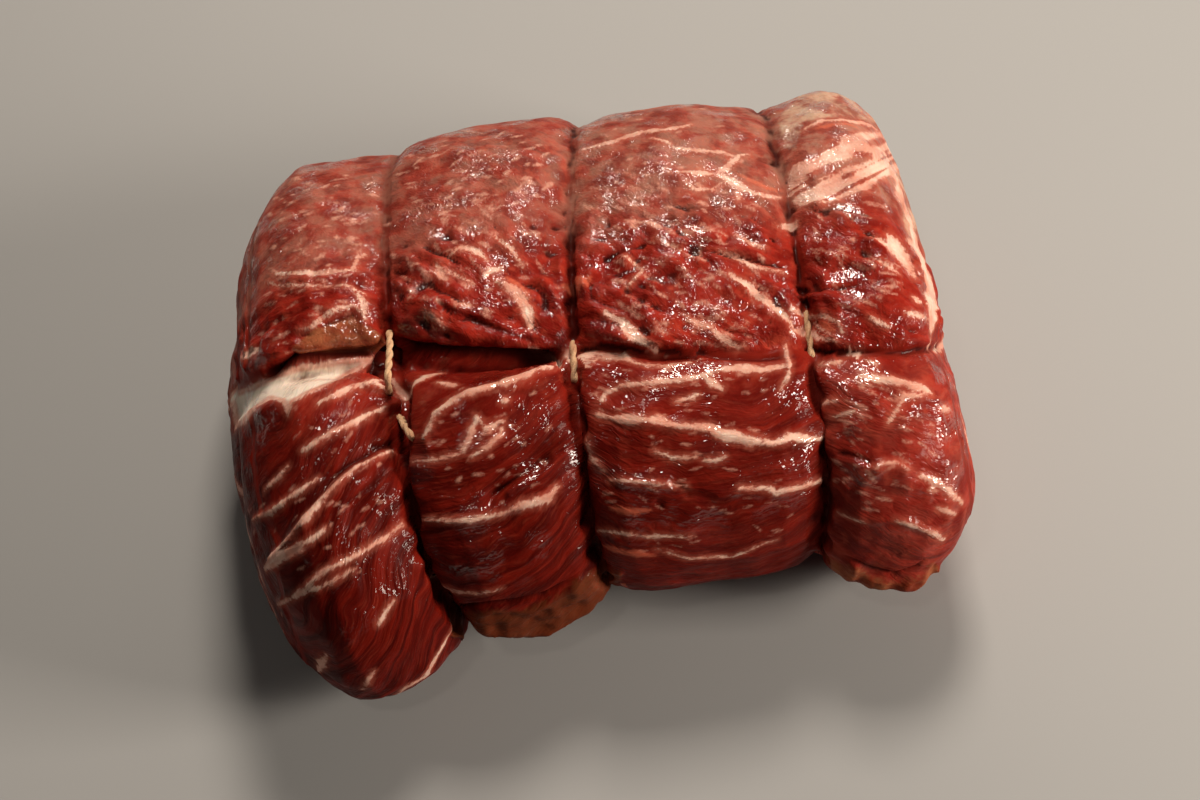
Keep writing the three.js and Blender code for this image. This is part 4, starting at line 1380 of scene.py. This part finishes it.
def rope(line, closed):
    """Two plies twisted round a line."""
    if closed:
        line = np.vstack([line, line[:1]])
    line = evenly(line, round(path_length(line)[-1] / ROPE_STEP_MM), endpoint=not closed)
    across, other = sideways(line, closed=False)
    turns = path_length(line)[-1] / PLY_PITCH_MM
    if closed:
        turns = round(turns)
    twist = np.linspace(0, turns * 2 * math.pi, len(line), endpoint=not closed)[:, None]
    plies = []
    for start in (0, math.pi):
        swing = np.cos(twist + start) * across + np.sin(twist + start) * other
        plies.append(tube(line + PLY_OFFSET_MM * swing, PLY_RADIUS_MM, closed))
    return joined(plies)


def sunk_ring(node, line):
    """A turn of twine, pressed into the meat except where it lies bare."""
    turn = section_angle(line)
    bare = RING_BARENESS[node]
    sink = np.interp(turn, SINK_TURN, SINK_MM) * (1 - bare) - BARE_LIFT_MM * bare
    shift = np.zeros((len(line), 3))
    if node == "twine_left":
        row = row_of(line)
        sink += DIVE_MM * window(row, *DIVE_ROWS) * (turn < SEEN_ANGLE)
        shift[:, 0] = STRAND_SHIFT_MM * window(row, *STRAND_ROWS)
    return line + inward_of(line) * sink[:, None] - shift


KNOT_PIXEL = (394, 405)
KNOT_RADIUS_MM = 0.85
KNOT_SWING_MM = 1.6
KNOT_HEIGHT_MM = 1.2
KNOT_LIFT_MM = -5.0  # the knot is pressed into the meat and doesn't show
KNOT_POINTS = 90
TAIL_PIXELS = [(397, 413), (401, 419), (408, 428), (416, 439)]
TAIL_LIFT_MM = [-3.0, 0.7, 1.2, 1.0]


def knot_and_tail():
    """A trefoil knot, and the short tail that shows below it."""
    (place, normal), = on_photo([KNOT_PIXEL])
    turn = np.linspace(0, 2 * math.pi, KNOT_POINTS, endpoint=False)
    loop = np.stack([
        np.sin(turn) + KNOT_SWING_MM * np.sin(2 * turn),
        np.cos(turn) - KNOT_SWING_MM * np.cos(2 * turn),
        -KNOT_HEIGHT_MM * np.sin(3 * turn),
    ], axis=1)
    knot = tube(place / MM + normal * KNOT_LIFT_MM + loop, KNOT_RADIUS_MM)
    tail = []
    for pixel, lift in zip(TAIL_PIXELS, TAIL_LIFT_MM):
        (place, normal), = on_photo([pixel])
        tail.append(place / MM + normal * lift)
    return [knot, rope(np.array(tail), closed=False)]


twine_look = twine_material()
for node, line in RINGS.items():
    parts = [rope(sunk_ring(node, line), closed=True)]
    if node == "twine_left":
        parts += knot_and_tail()
    vertices, faces = joined(parts)
    tie = new_object(node.replace("twine", "tie"), vertices * MM, faces)
    shade_smooth(tie)
    tie.data.materials.append(twine_look)
    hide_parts(node)
    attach(tie, "root")


# Stage, lights and camera.

FLOOR_HALF = 3.0
FLOOR_DROP = -0.0002
FLOOR_GREY = (0.38, 0.375, 0.37)
WORLD_COLOUR = (1.0, 0.97, 0.94, 1)
WORLD_STRENGTH = 0.03


def floor():
    """A pale floor just below the roast."""
    corners = [(-1, -1), (1, -1), (1, 1), (-1, 1)]
    vertices = [(FLOOR_HALF * x, FLOOR_HALF * y, FLOOR_DROP) for x, y in corners]
    plate = new_object("floor", vertices, [(0, 1, 2, 3)])
    plate.data.materials.append(Nodes("pale_floor").finish(Base_Color=FLOOR_GREY, Roughness=0.9))


def softbox(name, place, size, power):
    """A square area light that looks at the roast."""
    data = bpy.data.lights.new(name, "AREA")
    data.size = size
    data.energy = power
    data.color = WARM_LIGHT
    obj = bpy.data.objects.new(name, data)
    obj.location = place
    obj.rotation_euler = (Vector(TARGET) - Vector(place)).to_track_quat("-Z", "Y").to_euler()
    bpy.context.scene.collection.objects.link(obj)


def camera():
    """The camera of the photograph."""
    data = bpy.data.cameras.new("camera")
    data.lens = LENS_MM
    data.sensor_width = SENSOR_MM
    data.clip_start = 0.01
    obj = bpy.data.objects.new("camera", data)
    obj.location = EYE
    obj.rotation_mode = "QUATERNION"
    obj.rotation_quaternion = Vector(-BACKWARD).to_track_quat("-Z", "Y")
    bpy.context.scene.collection.objects.link(obj)
    bpy.context.scene.camera = obj


floor()
for name, (place, size, power) in LIGHTS.items():
    softbox(name, place, size, power)
camera()

world = bpy.data.worlds.new("studio")
world.use_nodes = True
world.node_tree.nodes["Background"].inputs["Color"].default_value = WORLD_COLOUR
world.node_tree.nodes["Background"].inputs["Strength"].default_value = WORLD_STRENGTH
bpy.context.scene.world = world
bpy.context.scene.view_settings.view_transform = "Standard"
